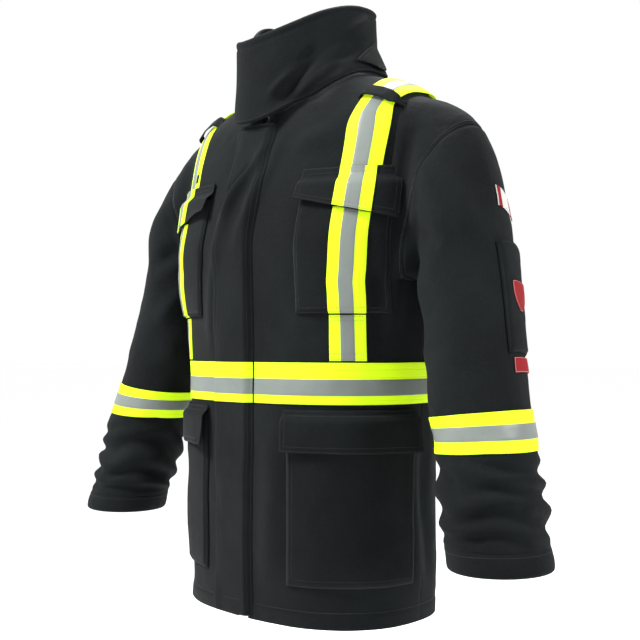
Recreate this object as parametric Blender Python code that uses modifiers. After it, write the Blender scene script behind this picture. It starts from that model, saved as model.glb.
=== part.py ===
"""Insulated turnout coat with reflective trim, standing as if worn.

Metres, +Z up. The front of the coat faces -Y and the wearer's left is +X. The origin is the centre of
the neck at the height of the back neck seam, so the coat hangs below it and the collar stands above it.

Cloth pieces are open grids laid on the coat's surface and thickened by Solidify. Every piece that is
sewn on, tucked under or folded over another takes its place from the same surface and from the
distances in the section on layers.
"""

import math
from functools import lru_cache

import bmesh
import bpy
import numpy as np

# Body of the coat
BACK_LENGTH = 0.82
HEM_HALF_WIDTH = 0.2
WAIST_HALF_WIDTH = 0.202
CHEST_HALF_WIDTH = 0.226
SHOULDER_INSET = 0.008
SHOULDER_Z = -0.074
FRONT_Y = -0.165
SIDE_Y = -0.012
BACK_Y = 0.107
BREAK_Z = -0.275
ARMPIT_Z = -0.335
SQUARENESS = 2.5

# Neck seam
NECK_HALF_WIDTH = 0.088
NECK_FRONT_Y = -0.112
NECK_BACK_Y = 0.08
NECK_FRONT_Z = -0.085
NECK_SIDE_Z = -0.018

# Collar
COLLAR_HEIGHT = 0.09
COLLAR_THICKNESS = 0.007
COLLAR_WRAP_DEG = 24
COLLAR_STEP_OUT = 0.028
COLLAR_DROP = 0.02
COLLAR_FRONT_RISE = 0.016
COLLAR_OUT = 0.003
COLLAR_LEAN = 0.006
COLLAR_LIFT = 0.006
COLLAR_LAP_DEG = 12
TAB_BACK_DEG = 112
TAB_FRONT_DEG = 80
TAB_LOW = 0.02
TAB_HIGH = 0.4
LOOP_HALF_DEG = 16
LOOP_REACH = 0.009

# Layers, as distances out from the shell's face
SHELL = 0.003
LINING = 0.006
LAYER_GAP = 0.002
TRIM_GAP = 0.0015
TRIM = 0.0014
FABRIC = 0.0016
POCKET_BASE = 0.0025
CHEST_POCKET_DEPTH = 0.0095
CARGO_POCKET_DEPTH = 0.0105
FLAP = 0.0025
FLAP_GAP = 0.0015
STACK_GAP = 0.0004
STORM_FLAP_INSIDE = 0.0065
STORM_FLAP = 0.004

# Reflective trim
TAPE_WIDTH = 0.0508
WAIST_TAPE_TOP = -0.448
CHEST_TAPE_LOW_X = 0.1625
CHEST_TAPE_TOP_X = 0.172
SHOULDER_TAPE_X = 0.181
BACK_TAPE_X = 0.115
TAPE_END_GAP = 0.002
EDGE_INSET = 0.001
SHOULDER_TAPE_OUT = 0.005
KEEPER_OUT = 0.0098
KEEPER_SHARE = -0.4
KEEPER_SPAN = 0.12

# Front closure
ZIP_HALF_WIDTH = 0.0085
ZIP_THICKNESS = 0.003
ZIP_SPLIT = 0.0006
SEAM_GAP = 0.0015
ZIP_TOP = -0.105
ZIP_BOTTOM = -0.805
SLIDER_LENGTH = 0.028
SLIDER_WIDTH = 0.013
SLIDER_THICKNESS = 0.0026
PULL_LENGTH = 0.036
PULL_WIDTH = 0.008
PULL_THICKNESS = 0.0012
STORM_FLAP_INNER = 0.021
STORM_FLAP_OUTER = -0.053
STORM_FLAP_TOP = -0.116
STORM_FLAP_BOTTOM = -0.815

# Chest pockets: near and far edges are distances round the coat from the centre front
CHEST_POCKET_NEAR = 0.096
CHEST_POCKET_FAR = 0.232
CHEST_FLAP_TOP = -0.192
CHEST_FLAP_BOTTOM = -0.252
CHEST_POCKET_TOP = -0.205
CHEST_POCKET_BOTTOM = -0.384
FLAP_OVERHANG = 0.004

# Cargo pockets
CARGO_POCKET_NEAR = 0.083
CARGO_POCKET_FAR = 0.27
CARGO_FLAP_TOP = -0.512
CARGO_FLAP_BOTTOM = -0.576
CARGO_POCKET_TOP = -0.525
CARGO_POCKET_BOTTOM = -0.762

# Sleeves
ARMHOLE_INSET = 0.02
ARMHOLE_GAP = 0.006
ARMHOLE_FLOOR_GAP = 0.004
CUFF_HALF_WIDTH = 0.0665
CUFF_DEPTH = 0.022
CUFF_SLANT = 0.03
CUFF_REACH = 0.168
CUFF_Y = -0.084
CUFF_Z = -0.708
LEFT_TAPE_FROM_CUFF = 0.15
RIGHT_TAPE_FROM_CUFF = 0.17
CUFF_SEAM_LEVEL = 0.03
PATCH_TURN_DEG = 20
ARM_POCKET_TOP = -0.262
ARM_POCKET_BOTTOM = -0.438
ARM_POCKET_HALF_WIDTH = 0.043
ARM_POCKET_OUT = 0.0075
ARM_POCKET_FLARE = 0.0025
ARM_PATCH_TOP = -0.193
ARM_PATCH_BOTTOM = -0.232
ARM_PATCH_HALF_WIDTH = 0.026
BADGE_TOP = -0.318
BADGE_BOTTOM = -0.364
BADGE_HALF_WIDTH = 0.02
BADGE_OUTLINE = (0.25, 0.8, 1, 1)
LABEL_TOP = -0.4435
LABEL_BOTTOM = -0.462
LABEL_HALF_WIDTH = 0.033

# Sampling of the curved surfaces
TABLE_STEPS = 120
FRONT_COLUMN_WIDTH = 0.0252
BACK_COLUMN_WIDTH = 0.0285
SLEEVE_COLUMNS = 16
NORMAL_TURN = math.radians(1.5)
NORMAL_RISE = 0.12
COLLAR_COLUMNS = 26
COLLAR_ROWS = 3
ARM_POCKET_COLUMNS = 8
ARM_POCKET_ROWS = 5
BADGE_ROWS = 3
SIDE_SEAM = 0.0012

COLLECTION = "turnout_coat"

MATERIALS = {
    "shell_fabric": ((0.022, 0.024, 0.026), 0.85, 0.0),
    "quilted_lining": ((0.03, 0.03, 0.034), 0.6, 0.0),
    "reflective_tape": ((0.72, 1.0, 0.02), 0.5, 0.0),
    "zip_tape": ((0.015, 0.015, 0.016), 0.8, 0.0),
    "zip_metal": ((0.55, 0.42, 0.18), 0.35, 1.0),
    "patch_cloth": ((0.8, 0.8, 0.78), 0.8, 0.0),
    "red_label": ((0.7, 0.03, 0.04), 0.6, 0.0),
}


SHOULDER_HALF_WIDTH = CHEST_HALF_WIDTH - SHOULDER_INSET
ARMHOLE_X = CHEST_HALF_WIDTH - ARMHOLE_INSET
SLEEVE_ROOT_X = ARMHOLE_X + ARMHOLE_GAP
CUFF_X = SLEEVE_ROOT_X + CUFF_REACH
FRONT_COLUMNS = math.ceil(CHEST_HALF_WIDTH / FRONT_COLUMN_WIDTH)
BACK_COLUMNS = math.ceil(CHEST_HALF_WIDTH / BACK_COLUMN_WIDTH)


def front_y_at(z):
    """Centre front: upright up to the break, then straight back to the neck seam."""
    return float(np.interp(z, (BREAK_Z, NECK_FRONT_Z), (FRONT_Y, NECK_FRONT_Y)))


def level_section(half_width, z):
    return (half_width, FRONT_Y, SIDE_Y, BACK_Y, z, z, z, SQUARENESS)


def sloping_section(half_width, side_y, back_y, heights, squareness):
    front_z, side_z, back_z = heights
    return (half_width, front_y_at(front_z), side_y, back_y, front_z, side_z, back_z, squareness)


# Half width; Y at front, side and back; Z at front, side and back; squareness. Hem first, neck last.
SECTIONS = np.array(
    (
        level_section(HEM_HALF_WIDTH, -BACK_LENGTH),
        level_section(WAIST_HALF_WIDTH, WAIST_TAPE_TOP - TAPE_WIDTH / 2),
        level_section(CHEST_HALF_WIDTH, ARMPIT_Z),
        level_section(CHEST_HALF_WIDTH, BREAK_Z),
        sloping_section(CHEST_HALF_WIDTH, SIDE_Y, BACK_Y, (-0.2, -0.17, -0.16), SQUARENESS),
        sloping_section(
            SHOULDER_HALF_WIDTH, -0.006, 0.1, (-0.14, SHOULDER_Z, SHOULDER_Z + 0.004), SQUARENESS
        ),
        sloping_section(
            (SHOULDER_HALF_WIDTH + NECK_HALF_WIDTH) / 2,
            -0.004,
            0.09,
            (-0.112, (SHOULDER_Z + NECK_SIDE_Z) / 2 + 0.004, -0.03),
            2.3,
        ),
        sloping_section(
            NECK_HALF_WIDTH, 0.0, NECK_BACK_Y, (NECK_FRONT_Z, NECK_SIDE_Z, 0.0), 2.1
        ),
    )
)
LAST = len(SECTIONS) - 1
ROW_LEVELS = (0, 0.33, 0.67, 1, 1.5, 2, 3, 4, 4.5, 5, 5.5, 6, 6.5, LAST)


def skin(turn, level):
    """Point on the shell's face: turn is an angle from the centre front, level counts sections."""
    low = min(int(level), LAST - 1)
    part = level - low
    values = SECTIONS[low] * (1 - part) + SECTIONS[low + 1] * part
    half_width, front_y, side_y, back_y, front_z, side_z, back_z, squareness = values
    across, ahead = math.sin(turn), math.cos(turn)
    end_y, end_z = (front_y, front_z) if ahead > 0 else (back_y, back_z)
    x = half_width * math.copysign(abs(across) ** (2 / squareness), across)
    y = side_y + (end_y - side_y) * abs(ahead) ** (2 / squareness)
    z = side_z + (end_z - side_z) * ahead**2
    return np.array((x, y, z))


def lift(turn, level, out):
    """The point at a distance out from the shell's face, along its normal."""
    below, above = max(level - NORMAL_RISE, 0), min(level + NORMAL_RISE, LAST)
    along = skin(turn + NORMAL_TURN, level) - skin(turn - NORMAL_TURN, level)
    upward = skin(turn, above) - skin(turn, below)
    normal = np.cross(along, upward)
    return skin(turn, level) + normal / np.linalg.norm(normal) * out


def level_at(turn, z):
    ahead = math.cos(turn)
    ends = SECTIONS[:, 4] if ahead > 0 else SECTIONS[:, 6]
    heights = SECTIONS[:, 5] + (ends - SECTIONS[:, 5]) * ahead**2
    return float(np.interp(z, heights, np.arange(LAST + 1)))


@lru_cache(maxsize=None)
def arc_table(z):
    """Turns from the centre front to the centre back at height z, with length round and X at each."""
    turns = np.linspace(0, math.pi, TABLE_STEPS + 1)
    points = np.array([skin(turn, level_at(turn, z)) for turn in turns])
    steps = np.linalg.norm(np.diff(points, axis=0), axis=1)
    return turns, np.concatenate(((0,), np.cumsum(steps))), points[:, 0]


def wrap(arc, z, out):
    """Point at a length round the coat from the centre front, positive to the wearer's left."""
    turns, lengths, _ = arc_table(z)
    turn = math.copysign(np.interp(abs(arc), lengths, turns), arc)
    return lift(turn, level_at(turn, z), out)


def arc_at(x, z):
    """Length round the front of the coat to a sideways distance x."""
    _, lengths, widths = arc_table(z)
    front = len(widths) // 2
    return float(np.interp(x, widths[:front], lengths[:front]))


@lru_cache(maxsize=None)
def quarter_table(level, back):
    """Turns over the front or the back quarter of one section, and length from its start."""
    start = math.pi / 2 if back else 0
    turns = start + np.linspace(0, math.pi / 2, TABLE_STEPS // 2 + 1)
    points = np.array([skin(turn, level) for turn in turns])
    steps = np.linalg.norm(np.diff(points, axis=0), axis=1)
    return turns, np.concatenate(((0,), np.cumsum(steps)))


def turn_at(quarters, level):
    """Turn at a number of quarter rounds, 0 at the centre front, 1 at the side and 2 at the back."""
    size = abs(quarters)
    turns, lengths = quarter_table(level, size > 1)
    turn = np.interp((size - 1 if size > 1 else size) * lengths[-1], lengths, turns)
    return math.copysign(turn, quarters)


def rows_between(low, high, step=0.03):
    """Heights from low to high, with one exactly at the break of the front."""
    count = max(1, math.ceil((high - low) / step))
    rows = list(np.linspace(low, high, count + 1))
    if low < BREAK_Z < high:
        nearest = min(range(1, count + 1), key=lambda i: abs(rows[i] - BREAK_Z))
        rows[min(nearest, count - 1)] = BREAK_Z
    return rows


def columns_between(low, high, step=0.02):
    return list(np.linspace(low, high, max(1, math.ceil((high - low) / step)) + 1))


def clear_scene():
    for obj in list(bpy.data.objects):
        bpy.data.objects.remove(obj, do_unlink=True)


def make_materials():
    made = {}
    for name, (colour, roughness, metallic) in MATERIALS.items():
        material = bpy.data.materials.new(name)
        material.use_nodes = True
        shader = material.node_tree.nodes["Principled BSDF"]
        shader.inputs["Base Color"].default_value = (*colour, 1)
        shader.inputs["Roughness"].default_value = roughness
        shader.inputs["Metallic"].default_value = metallic
        material.diffuse_color = (*colour, 1)
        made[name] = material
    return made


def grid(columns, rows, place):
    """An open grid whose vertex (i, j) lies at place(i, j)."""
    mesh = bmesh.new()
    bmesh.ops.create_grid(mesh, x_segments=columns, y_segments=rows, size=1)
    for vertex in mesh.verts:
        i = round((vertex.co.x + 1) / 2 * columns)
        j = round((vertex.co.y + 1) / 2 * rows)
        vertex.co = place(i, j)
    return mesh


def patch(arcs, heights, out):
    return grid(len(arcs) - 1, len(heights) - 1, lambda i, j: wrap(arcs[i], heights[j], out))


def leaning_patch(edges, heights, out, columns=3):
    """A strip whose near and far edges are functions of height."""
    near, far = edges

    def place(i, j):
        z = heights[j]
        arc = near(z) + (far(z) - near(z)) * i / columns
        return wrap(arc, z, out)

    return grid(columns, len(heights) - 1, place)


def tray(side, arcs, heights, base, depth, flare=0.002):
    """A patch pocket: a raised face with turned-in edges at both sides and the bottom, open at the top."""
    columns, rows = len(arcs) + 1, len(heights)

    def place(i, j):
        arc = arcs[min(max(i - 1, 0), columns - 2)]
        z = heights[max(j - 1, 0)]
        arc += flare * ((i == columns) - (i == 0))
        z -= flare * (j == 0)
        return wrap(side * arc, z, base if i in (0, columns) or j == 0 else depth)

    return grid(columns, rows, place)


class Coat:
    """Puts finished pieces into the coat's collection."""

    def __init__(self):
        self.materials = make_materials()
        self.collection = bpy.data.collections.new(COLLECTION)
        bpy.context.scene.collection.children.link(self.collection)

    def add(self, name, mesh, slot, pivot=(0, 0, 0)):
        data = bpy.data.meshes.new(name)
        bmesh.ops.translate(mesh, verts=mesh.verts, vec=[-value for value in pivot])
        mesh.to_mesh(data)
        mesh.free()
        data.materials.append(self.materials[slot])
        obj = bpy.data.objects.new(name, data)
        obj.location = pivot
        self.collection.objects.link(obj)
        return obj

    def cloth(self, name, mesh, thickness, slot="shell_fabric", pivot=(0, 0, 0)):
        """An open sheet given its thickness half to each side."""
        obj = self.add(name, mesh, slot, pivot)
        solidify = obj.modifiers.new("thickness", "SOLIDIFY")
        solidify.thickness = thickness
        solidify.offset = 0
        solidify.use_even_offset = True
        obj.data.shade_smooth()
        obj.data.set_sharp_from_angle(angle=math.radians(40))
        return obj


def cut_armholes(mesh):
    """Takes away what lies beyond the two armhole planes, above the armpit."""
    floor = ARMPIT_Z - ARMHOLE_FLOOR_GAP
    cuts = (
        ((ARMHOLE_X, 0, 0), (1, 0, 0)),
        ((-ARMHOLE_X, 0, 0), (1, 0, 0)),
        ((0, 0, floor), (0, 0, 1)),
    )
    for point, normal in cuts:
        everything = mesh.verts[:] + mesh.edges[:] + mesh.faces[:]
        bmesh.ops.bisect_plane(mesh, geom=everything, plane_co=point, plane_no=normal, dist=1e-5)
    beyond = [
        face
        for face in mesh.faces
        if abs(face.calc_center_median().x) > ARMHOLE_X and face.calc_center_median().z > floor
    ]
    bmesh.ops.delete(mesh, geom=beyond, context="FACES")


def zip_edge(level):
    """Quarter rounds from the centre front to a front panel's edge beside the zip."""
    return (ZIP_HALF_WIDTH + SEAM_GAP) / quarter_table(level, False)[1][-1]


def front_quarters(level, end_gap=0):
    """Column places over one front panel, from the zip to the side seam."""
    start = zip_edge(level)
    end = 1 - end_gap / quarter_table(level, False)[1][-1]
    return [start + (end - start) * i / FRONT_COLUMNS for i in range(FRONT_COLUMNS + 1)]


def back_quarters(level, start_gap=0):
    """Column places over half of the back, from the side seam to the centre back."""
    start = 1 + start_gap / quarter_table(level, True)[1][-1]
    return [start + (2 - start) * i / BACK_COLUMNS for i in range(BACK_COLUMNS + 1)]


def body_sheet(places, out):
    """A sheet over the body, cut at the armholes: places gives each level's column places."""
    table = [places(level) for level in ROW_LEVELS]

    def place(i, j):
        level = ROW_LEVELS[j]
        return lift(turn_at(table[j][i], level), level, out)

    mesh = grid(len(table[0]) - 1, len(ROW_LEVELS) - 1, place)
    cut_armholes(mesh)
    return mesh


def both_ways(places):
    """Column places from the left, through the centre back, to the same places on the right."""
    return places + [-quarters for quarters in reversed(places[:-1])]


def make_body(coat):
    face = -SHELL / 2
    gap = SIDE_SEAM / 2
    coat.cloth("left_front_panel", body_sheet(lambda w: front_quarters(w, gap), face), SHELL)
    right = body_sheet(lambda w: [-quarters for quarters in front_quarters(w, gap)], face)
    coat.cloth("right_front_panel", right, SHELL)
    back = body_sheet(lambda w: both_ways(back_quarters(w, gap)), face)
    coat.cloth("back_panel", back, SHELL)
    inside = -SHELL - LAYER_GAP - LINING / 2
    lining = body_sheet(lambda w: both_ways(front_quarters(w)[:-1] + back_quarters(w)), inside)
    coat.cloth("quilted_body_lining", lining, LINING, "quilted_lining")


def neck_point(turn, out, z_above):
    """A point above the neck seam, at a distance out from it in plan."""
    seam = skin(turn, LAST)
    ahead = skin(turn + NORMAL_TURN, LAST) - skin(turn - NORMAL_TURN, LAST)
    outward = np.array((ahead[1], -ahead[0], 0))
    outward /= np.linalg.norm(outward)
    return seam + outward * out + np.array((0, 0, z_above))


def collar_step(turn):
    """How far the free end has left the seam: 0 round the neck, 1 at the free front edge."""
    start, end = math.radians(50), -math.radians(COLLAR_WRAP_DEG)
    share = min(max((start - turn) / (start - end), 0), 1)
    return share * share * (3 - 2 * share)


def collar_point(turn, up, out):
    step = collar_step(turn)
    front_rise = 0.5 * (1 + math.cos(turn))
    height = COLLAR_HEIGHT + COLLAR_FRONT_RISE * front_rise
    base = COLLAR_LIFT - (COLLAR_DROP + COLLAR_LIFT) * step
    away = COLLAR_OUT + COLLAR_STEP_OUT * step - COLLAR_LEAN * up + out
    return neck_point(turn, away, base + height * up)


def make_collar(coat):
    first = -math.radians(COLLAR_WRAP_DEG)
    last = 2 * math.pi - math.radians(COLLAR_LAP_DEG)

    def place(i, j):
        turn = first + (last - first) * i / COLLAR_COLUMNS
        return collar_point(turn, j / COLLAR_ROWS, 0)

    coat.cloth("collar", grid(COLLAR_COLUMNS, COLLAR_ROWS, place), COLLAR_THICKNESS)


def make_throat_tab(coat):
    out = COLLAR_THICKNESS / 2 + FLAP_GAP + FLAP / 2
    columns, rows = 4, 2

    def place(i, j):
        turn = math.radians(TAB_BACK_DEG + (TAB_FRONT_DEG - TAB_BACK_DEG) * i / columns)
        return collar_point(turn, TAB_LOW + (TAB_HIGH - TAB_LOW) * j / rows, out)

    pivot = collar_point(math.radians(TAB_BACK_DEG), (TAB_LOW + TAB_HIGH) / 2, out)
    coat.cloth("throat_tab", grid(columns, rows, place), FLAP, pivot=pivot)


def make_hang_loop(coat):
    """A short strap inside the back of the collar, held away from it between its ends."""
    face = -COLLAR_THICKNESS / 2 - TRIM_GAP
    columns = 4

    def place(i, j):
        turn = math.pi + math.radians(LOOP_HALF_DEG) * (2 * i / columns - 1)
        out = face - (LOOP_REACH if 0 < i < columns else FABRIC / 2)
        return collar_point(turn, 0.05 + 0.08 * j, out)

    coat.cloth("hang_loop", grid(columns, 1, place), FABRIC)


def make_zip(coat):
    heights = rows_between(ZIP_BOTTOM, ZIP_TOP, 0.18)
    for side, name in ((1, "left"), (-1, "right")):
        arcs = [side * ZIP_SPLIT, side * ZIP_HALF_WIDTH]
        coat.cloth(f"{name}_zip_tape", patch(arcs, heights, -0.001), ZIP_THICKNESS, "zip_tape")
    for name, z, rise in (("upper", ZIP_TOP - 0.01, -1), ("lower", ZIP_BOTTOM + 0.008, 1)):
        start = wrap(0, z, 0)
        end = wrap(0, z + rise * SLIDER_LENGTH, 0)
        make_slider(coat, name, start, end, rise)


def slider_block(coat, name, near, far, width, low, thickness, slot):
    """A block along the front from near to far, its back face at a distance low out from the shell."""
    along = far - near
    outward = np.cross((1, 0, 0), along)
    outward /= np.linalg.norm(outward)
    if outward[1] > 0:
        outward = -outward
    mesh = bmesh.new()
    bmesh.ops.create_cube(mesh, size=1)
    middle = (near + far) / 2 + outward * (low + thickness / 2)
    length = np.linalg.norm(along)
    unit = along / length
    for vertex in mesh.verts:
        x, y, z = vertex.co
        vertex.co = np.array((x * width, 0, 0)) + outward * y * thickness + unit * z * length
    mesh.normal_update()
    bmesh.ops.recalc_face_normals(mesh, faces=mesh.faces)
    bmesh.ops.translate(mesh, verts=mesh.verts, vec=middle)
    obj = coat.add(name, mesh, slot, tuple(middle))
    bevel = obj.modifiers.new("edges", "BEVEL")
    bevel.width = thickness / 5
    bevel.segments = 1


def make_slider(coat, name, near, far, rise):
    low = ZIP_THICKNESS / 2 - 0.001 + STACK_GAP
    block = f"{name}_zip_slider"
    slider_block(coat, block, near, far, SLIDER_WIDTH, low, SLIDER_THICKNESS, "zip_metal")
    down = (far - near) / np.linalg.norm(far - near) * -rise
    top = (near + far) / 2 - down * 0.002
    outside = low + SLIDER_THICKNESS + STACK_GAP
    pull = f"{name}_zip_pull"
    ends = (top + down * PULL_LENGTH, top)
    slider_block(coat, pull, *ends, PULL_WIDTH, outside, PULL_THICKNESS, "zip_metal")


def make_storm_flap(coat):
    out = STORM_FLAP_INSIDE + STORM_FLAP / 2
    arcs = columns_between(STORM_FLAP_OUTER, STORM_FLAP_INNER, 0.019)
    heights = rows_between(STORM_FLAP_BOTTOM, STORM_FLAP_TOP, 0.09)
    pivot = wrap(STORM_FLAP_INNER, -BACK_LENGTH / 2, out)
    coat.cloth("storm_flap", patch(arcs, heights, out), STORM_FLAP, pivot=pivot)
    tape_out = STORM_FLAP_INSIDE + STORM_FLAP + STACK_GAP + TRIM / 2
    tape = patch(
        columns_between(STORM_FLAP_OUTER + EDGE_INSET, STORM_FLAP_INNER - EDGE_INSET, 0.019),
        [WAIST_TAPE_TOP - TAPE_WIDTH, WAIST_TAPE_TOP],
        tape_out,
    )
    coat.cloth("storm_flap_waist_tape", tape, TRIM, "reflective_tape", pivot)


def tape_arc(z, edge):
    """Length round to the chest tape's middle, or to an edge at -1 or 1."""
    top, bottom = CHEST_FLAP_TOP, WAIST_TAPE_TOP
    x = float(np.interp(z, (bottom, top), (CHEST_TAPE_LOW_X, CHEST_TAPE_TOP_X)))
    return arc_at(x, z) + edge * TAPE_WIDTH / 2


def make_chest_pocket(coat, side, name):
    arcs = columns_between(CHEST_POCKET_NEAR, CHEST_POCKET_FAR, 0.024)
    heights = rows_between(CHEST_POCKET_BOTTOM, CHEST_POCKET_TOP, 0.06)
    pocket = tray(side, arcs, heights, POCKET_BASE, CHEST_POCKET_DEPTH)
    coat.cloth(f"{name}_chest_pocket", pocket, FABRIC)
    flap_out = CHEST_POCKET_DEPTH + FABRIC / 2 + FLAP_GAP + FLAP / 2
    near, far = CHEST_POCKET_NEAR - FLAP_OVERHANG, CHEST_POCKET_FAR + FLAP_OVERHANG
    flap_arcs = [side * arc for arc in columns_between(near, far, 0.022)]
    pivot = wrap(side * (near + far) / 2, CHEST_FLAP_TOP, flap_out)
    flap_heights = rows_between(CHEST_FLAP_BOTTOM, CHEST_FLAP_TOP, 0.03)
    flap = patch(flap_arcs, flap_heights, flap_out)
    coat.cloth(f"{name}_chest_flap", flap, FLAP, pivot=pivot)

    both = (lambda z: side * tape_arc(z, -1), lambda z: side * tape_arc(z, 1))
    flap_tape_out = flap_out + FLAP / 2 + STACK_GAP + TRIM / 2
    strip = leaning_patch(both, [CHEST_FLAP_BOTTOM + EDGE_INSET, CHEST_FLAP_TOP - EDGE_INSET], flap_tape_out)
    coat.cloth(f"{name}_flap_tape", strip, TRIM, "reflective_tape", pivot)
    pocket_tape_out = CHEST_POCKET_DEPTH + FABRIC / 2 + 3 * STACK_GAP + TRIM / 2
    pocket_rows = rows_between(CHEST_POCKET_BOTTOM, CHEST_FLAP_BOTTOM - TAPE_END_GAP, 0.06)
    strip = leaning_patch(both, pocket_rows, pocket_tape_out)
    coat.cloth(f"{name}_pocket_tape", strip, TRIM, "reflective_tape")
    low_rows = [WAIST_TAPE_TOP + TAPE_END_GAP, CHEST_POCKET_BOTTOM - 2 * TAPE_END_GAP]
    strip = leaning_patch(both, low_rows, TRIM_GAP + TRIM / 2)
    coat.cloth(f"{name}_lower_chest_tape", strip, TRIM, "reflective_tape")


def ridge_level(x):
    """Level at which the shoulder's ridge is at a sideways distance x."""
    return float(np.interp(-x, -SECTIONS[4:, 0], np.arange(4, LAST + 1)))


def over_shoulder(x, share, out):
    """Point on a line over the shoulder: share -1 low on the front, 0 on the ridge, 1 low on the back."""
    ridge = ridge_level(x)
    front_foot = level_at(math.pi / 3, CHEST_FLAP_TOP + TAPE_END_GAP)
    back_foot = level_at(2 * math.pi / 3, WAIST_TAPE_TOP + TAPE_END_GAP)
    foot = front_foot if share < 0 else back_foot
    level = ridge + (foot - ridge) * share**2
    half_width, squareness = (
        float(np.interp(level, np.arange(LAST + 1), SECTIONS[:, column])) for column in (0, 7)
    )
    turn = math.asin(min(1, (x / half_width) ** (squareness / 2)))
    return lift(turn if share < 0 else math.pi - turn, level, out)


def shoulder_shares(x, steps, foot, creases):
    """Evenly spaced shares from the ridge down, and one at each crease of the surface."""
    ridge = ridge_level(x)
    even = [i / steps for i in range(steps + 1)]
    folds = [math.sqrt((ridge - level) / (ridge - foot)) for level in creases]
    kept = [share for share in even if all(abs(share - fold) > 0.02 for fold in folds)]
    return sorted(kept + folds)


def make_shoulder_tape(coat, side, name):
    columns = 3
    back_foot = level_at(2 * math.pi / 3, WAIST_TAPE_TOP + TAPE_END_GAP)
    front_foot = level_at(math.pi / 3, CHEST_FLAP_TOP + TAPE_END_GAP)
    front = shoulder_shares(SHOULDER_TAPE_X, 7, front_foot, (5,))
    back = shoulder_shares(SHOULDER_TAPE_X, 12, back_foot, (5, 4, 3, 2))
    shares = [-share for share in reversed(front)] + back[1:]

    def place(i, j):
        share = shares[j]
        ends = (CHEST_TAPE_TOP_X, SHOULDER_TAPE_X, BACK_TAPE_X)
        x = float(np.interp(share, (-1, 0, 1), ends)) + TAPE_WIDTH * (i / columns - 0.5)
        return over_shoulder(x, share, SHOULDER_TAPE_OUT) * (side, 1, 1)

    strip = grid(columns, len(shares) - 1, place)
    coat.cloth(f"{name}_shoulder_tape", strip, TRIM, "reflective_tape")
    half = TAPE_WIDTH / 2
    offsets = (-half - 0.006, -half - 0.003, -half / 3, half / 3, half + 0.003, half + 0.006)
    last = len(offsets) - 1

    def keeper_place(i, j):
        middle = float(np.interp(KEEPER_SHARE, (-1, 0), (CHEST_TAPE_TOP_X, SHOULDER_TAPE_X)))
        out = TRIM_GAP + TRIM / 2 if i in (0, last) else KEEPER_OUT
        share = KEEPER_SHARE + (j - 0.5) * KEEPER_SPAN
        return over_shoulder(middle + offsets[i], share, out) * (side, 1, 1)

    coat.cloth(f"{name}_shoulder_keeper", grid(last, 1, keeper_place), TRIM)


def make_waist_tape(coat):
    heights = [WAIST_TAPE_TOP - TAPE_WIDTH, WAIST_TAPE_TOP]
    _, lengths, _ = arc_table(WAIST_TAPE_TOP)
    left = STORM_FLAP_INNER + TAPE_END_GAP
    right = 2 * lengths[-1] - ZIP_HALF_WIDTH - TAPE_END_GAP
    columns = 40

    def place(i, j):
        arc = left + (right - left) * i / columns
        if arc > lengths[-1]:
            arc -= 2 * lengths[-1]
        return wrap(arc, heights[j], TRIM_GAP + TRIM / 2)

    coat.cloth("waist_tape", grid(columns, 1, place), TRIM, "reflective_tape")


def make_cargo_pocket(coat, side, name):
    arcs = columns_between(CARGO_POCKET_NEAR, CARGO_POCKET_FAR, 0.024)
    heights = rows_between(CARGO_POCKET_BOTTOM, CARGO_POCKET_TOP, 0.09)
    pocket = tray(side, arcs, heights, POCKET_BASE, CARGO_POCKET_DEPTH)
    coat.cloth(f"{name}_cargo_pocket", pocket, FABRIC)
    flap_out = CARGO_POCKET_DEPTH + FABRIC / 2 + FLAP_GAP + FLAP / 2
    near, far = CARGO_POCKET_NEAR - FLAP_OVERHANG, CARGO_POCKET_FAR + FLAP_OVERHANG
    flap_arcs = [side * arc for arc in columns_between(near, far, 0.022)]
    pivot = wrap(side * (near + far) / 2, CARGO_FLAP_TOP, flap_out)
    flap = patch(flap_arcs, rows_between(CARGO_FLAP_BOTTOM, CARGO_FLAP_TOP, 0.04), flap_out)
    coat.cloth(f"{name}_cargo_flap", flap, FLAP, pivot=pivot)


SLEEVE_TOP_Z = SHOULDER_Z - 0.002


def cuff_ring(inward, height, y):
    outer, inner = CUFF_X - inward + CUFF_HALF_WIDTH, CUFF_X - inward - CUFF_HALF_WIDTH
    slant = (outer - inner) * CUFF_SLANT / 2
    return (outer, CUFF_Z + height + slant, inner, CUFF_Z + height - slant, y, CUFF_HALF_WIDTH)


def arm_ring(reach, width, heights, y, half_depth):
    """A ring whose outer side reaches out from the armhole, with its inner side a width nearer the body."""
    outer = SLEEVE_ROOT_X + reach
    return (outer, heights[0], outer - width, heights[1], y, half_depth)


# Rings of the left sleeve: outer X and Z, inner X and Z, middle Y, half depth
SLEEVE_RINGS = np.array(
    (
        arm_ring(0, 0, (SLEEVE_TOP_Z, ARMPIT_Z + 0.002), -0.004, 0.067),
        arm_ring(0.05, 0.032, (SLEEVE_TOP_Z - 0.02, ARMPIT_Z), -0.006, 0.073),
        arm_ring(0.088, 0.066, (-0.125, -0.356), -0.01, 0.078),
        arm_ring(0.114, 0.088, (-0.2, -0.385), -0.018, 0.081),
        arm_ring(0.137, 0.108, (-0.3, -0.42), -0.024, 0.077),
        arm_ring(0.163, 0.129, (-0.42, -0.465), -0.038, 0.072),
        arm_ring(0.189, 0.134, (-0.523, -0.53), -0.055, 0.068),
        arm_ring(0.212, 0.133, (-0.615, -0.62), -0.069, CUFF_HALF_WIDTH),
        cuff_ring(0.006, CUFF_DEPTH, CUFF_Y + 0.003),
        cuff_ring(0, 0, CUFF_Y),
    )
)
LAST_RING = len(SLEEVE_RINGS) - 1
SLEEVE_LEVELS = (0, 0.5, 1, 1.5, 2, 3, 4, 5, 6, 7, 8)


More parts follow.
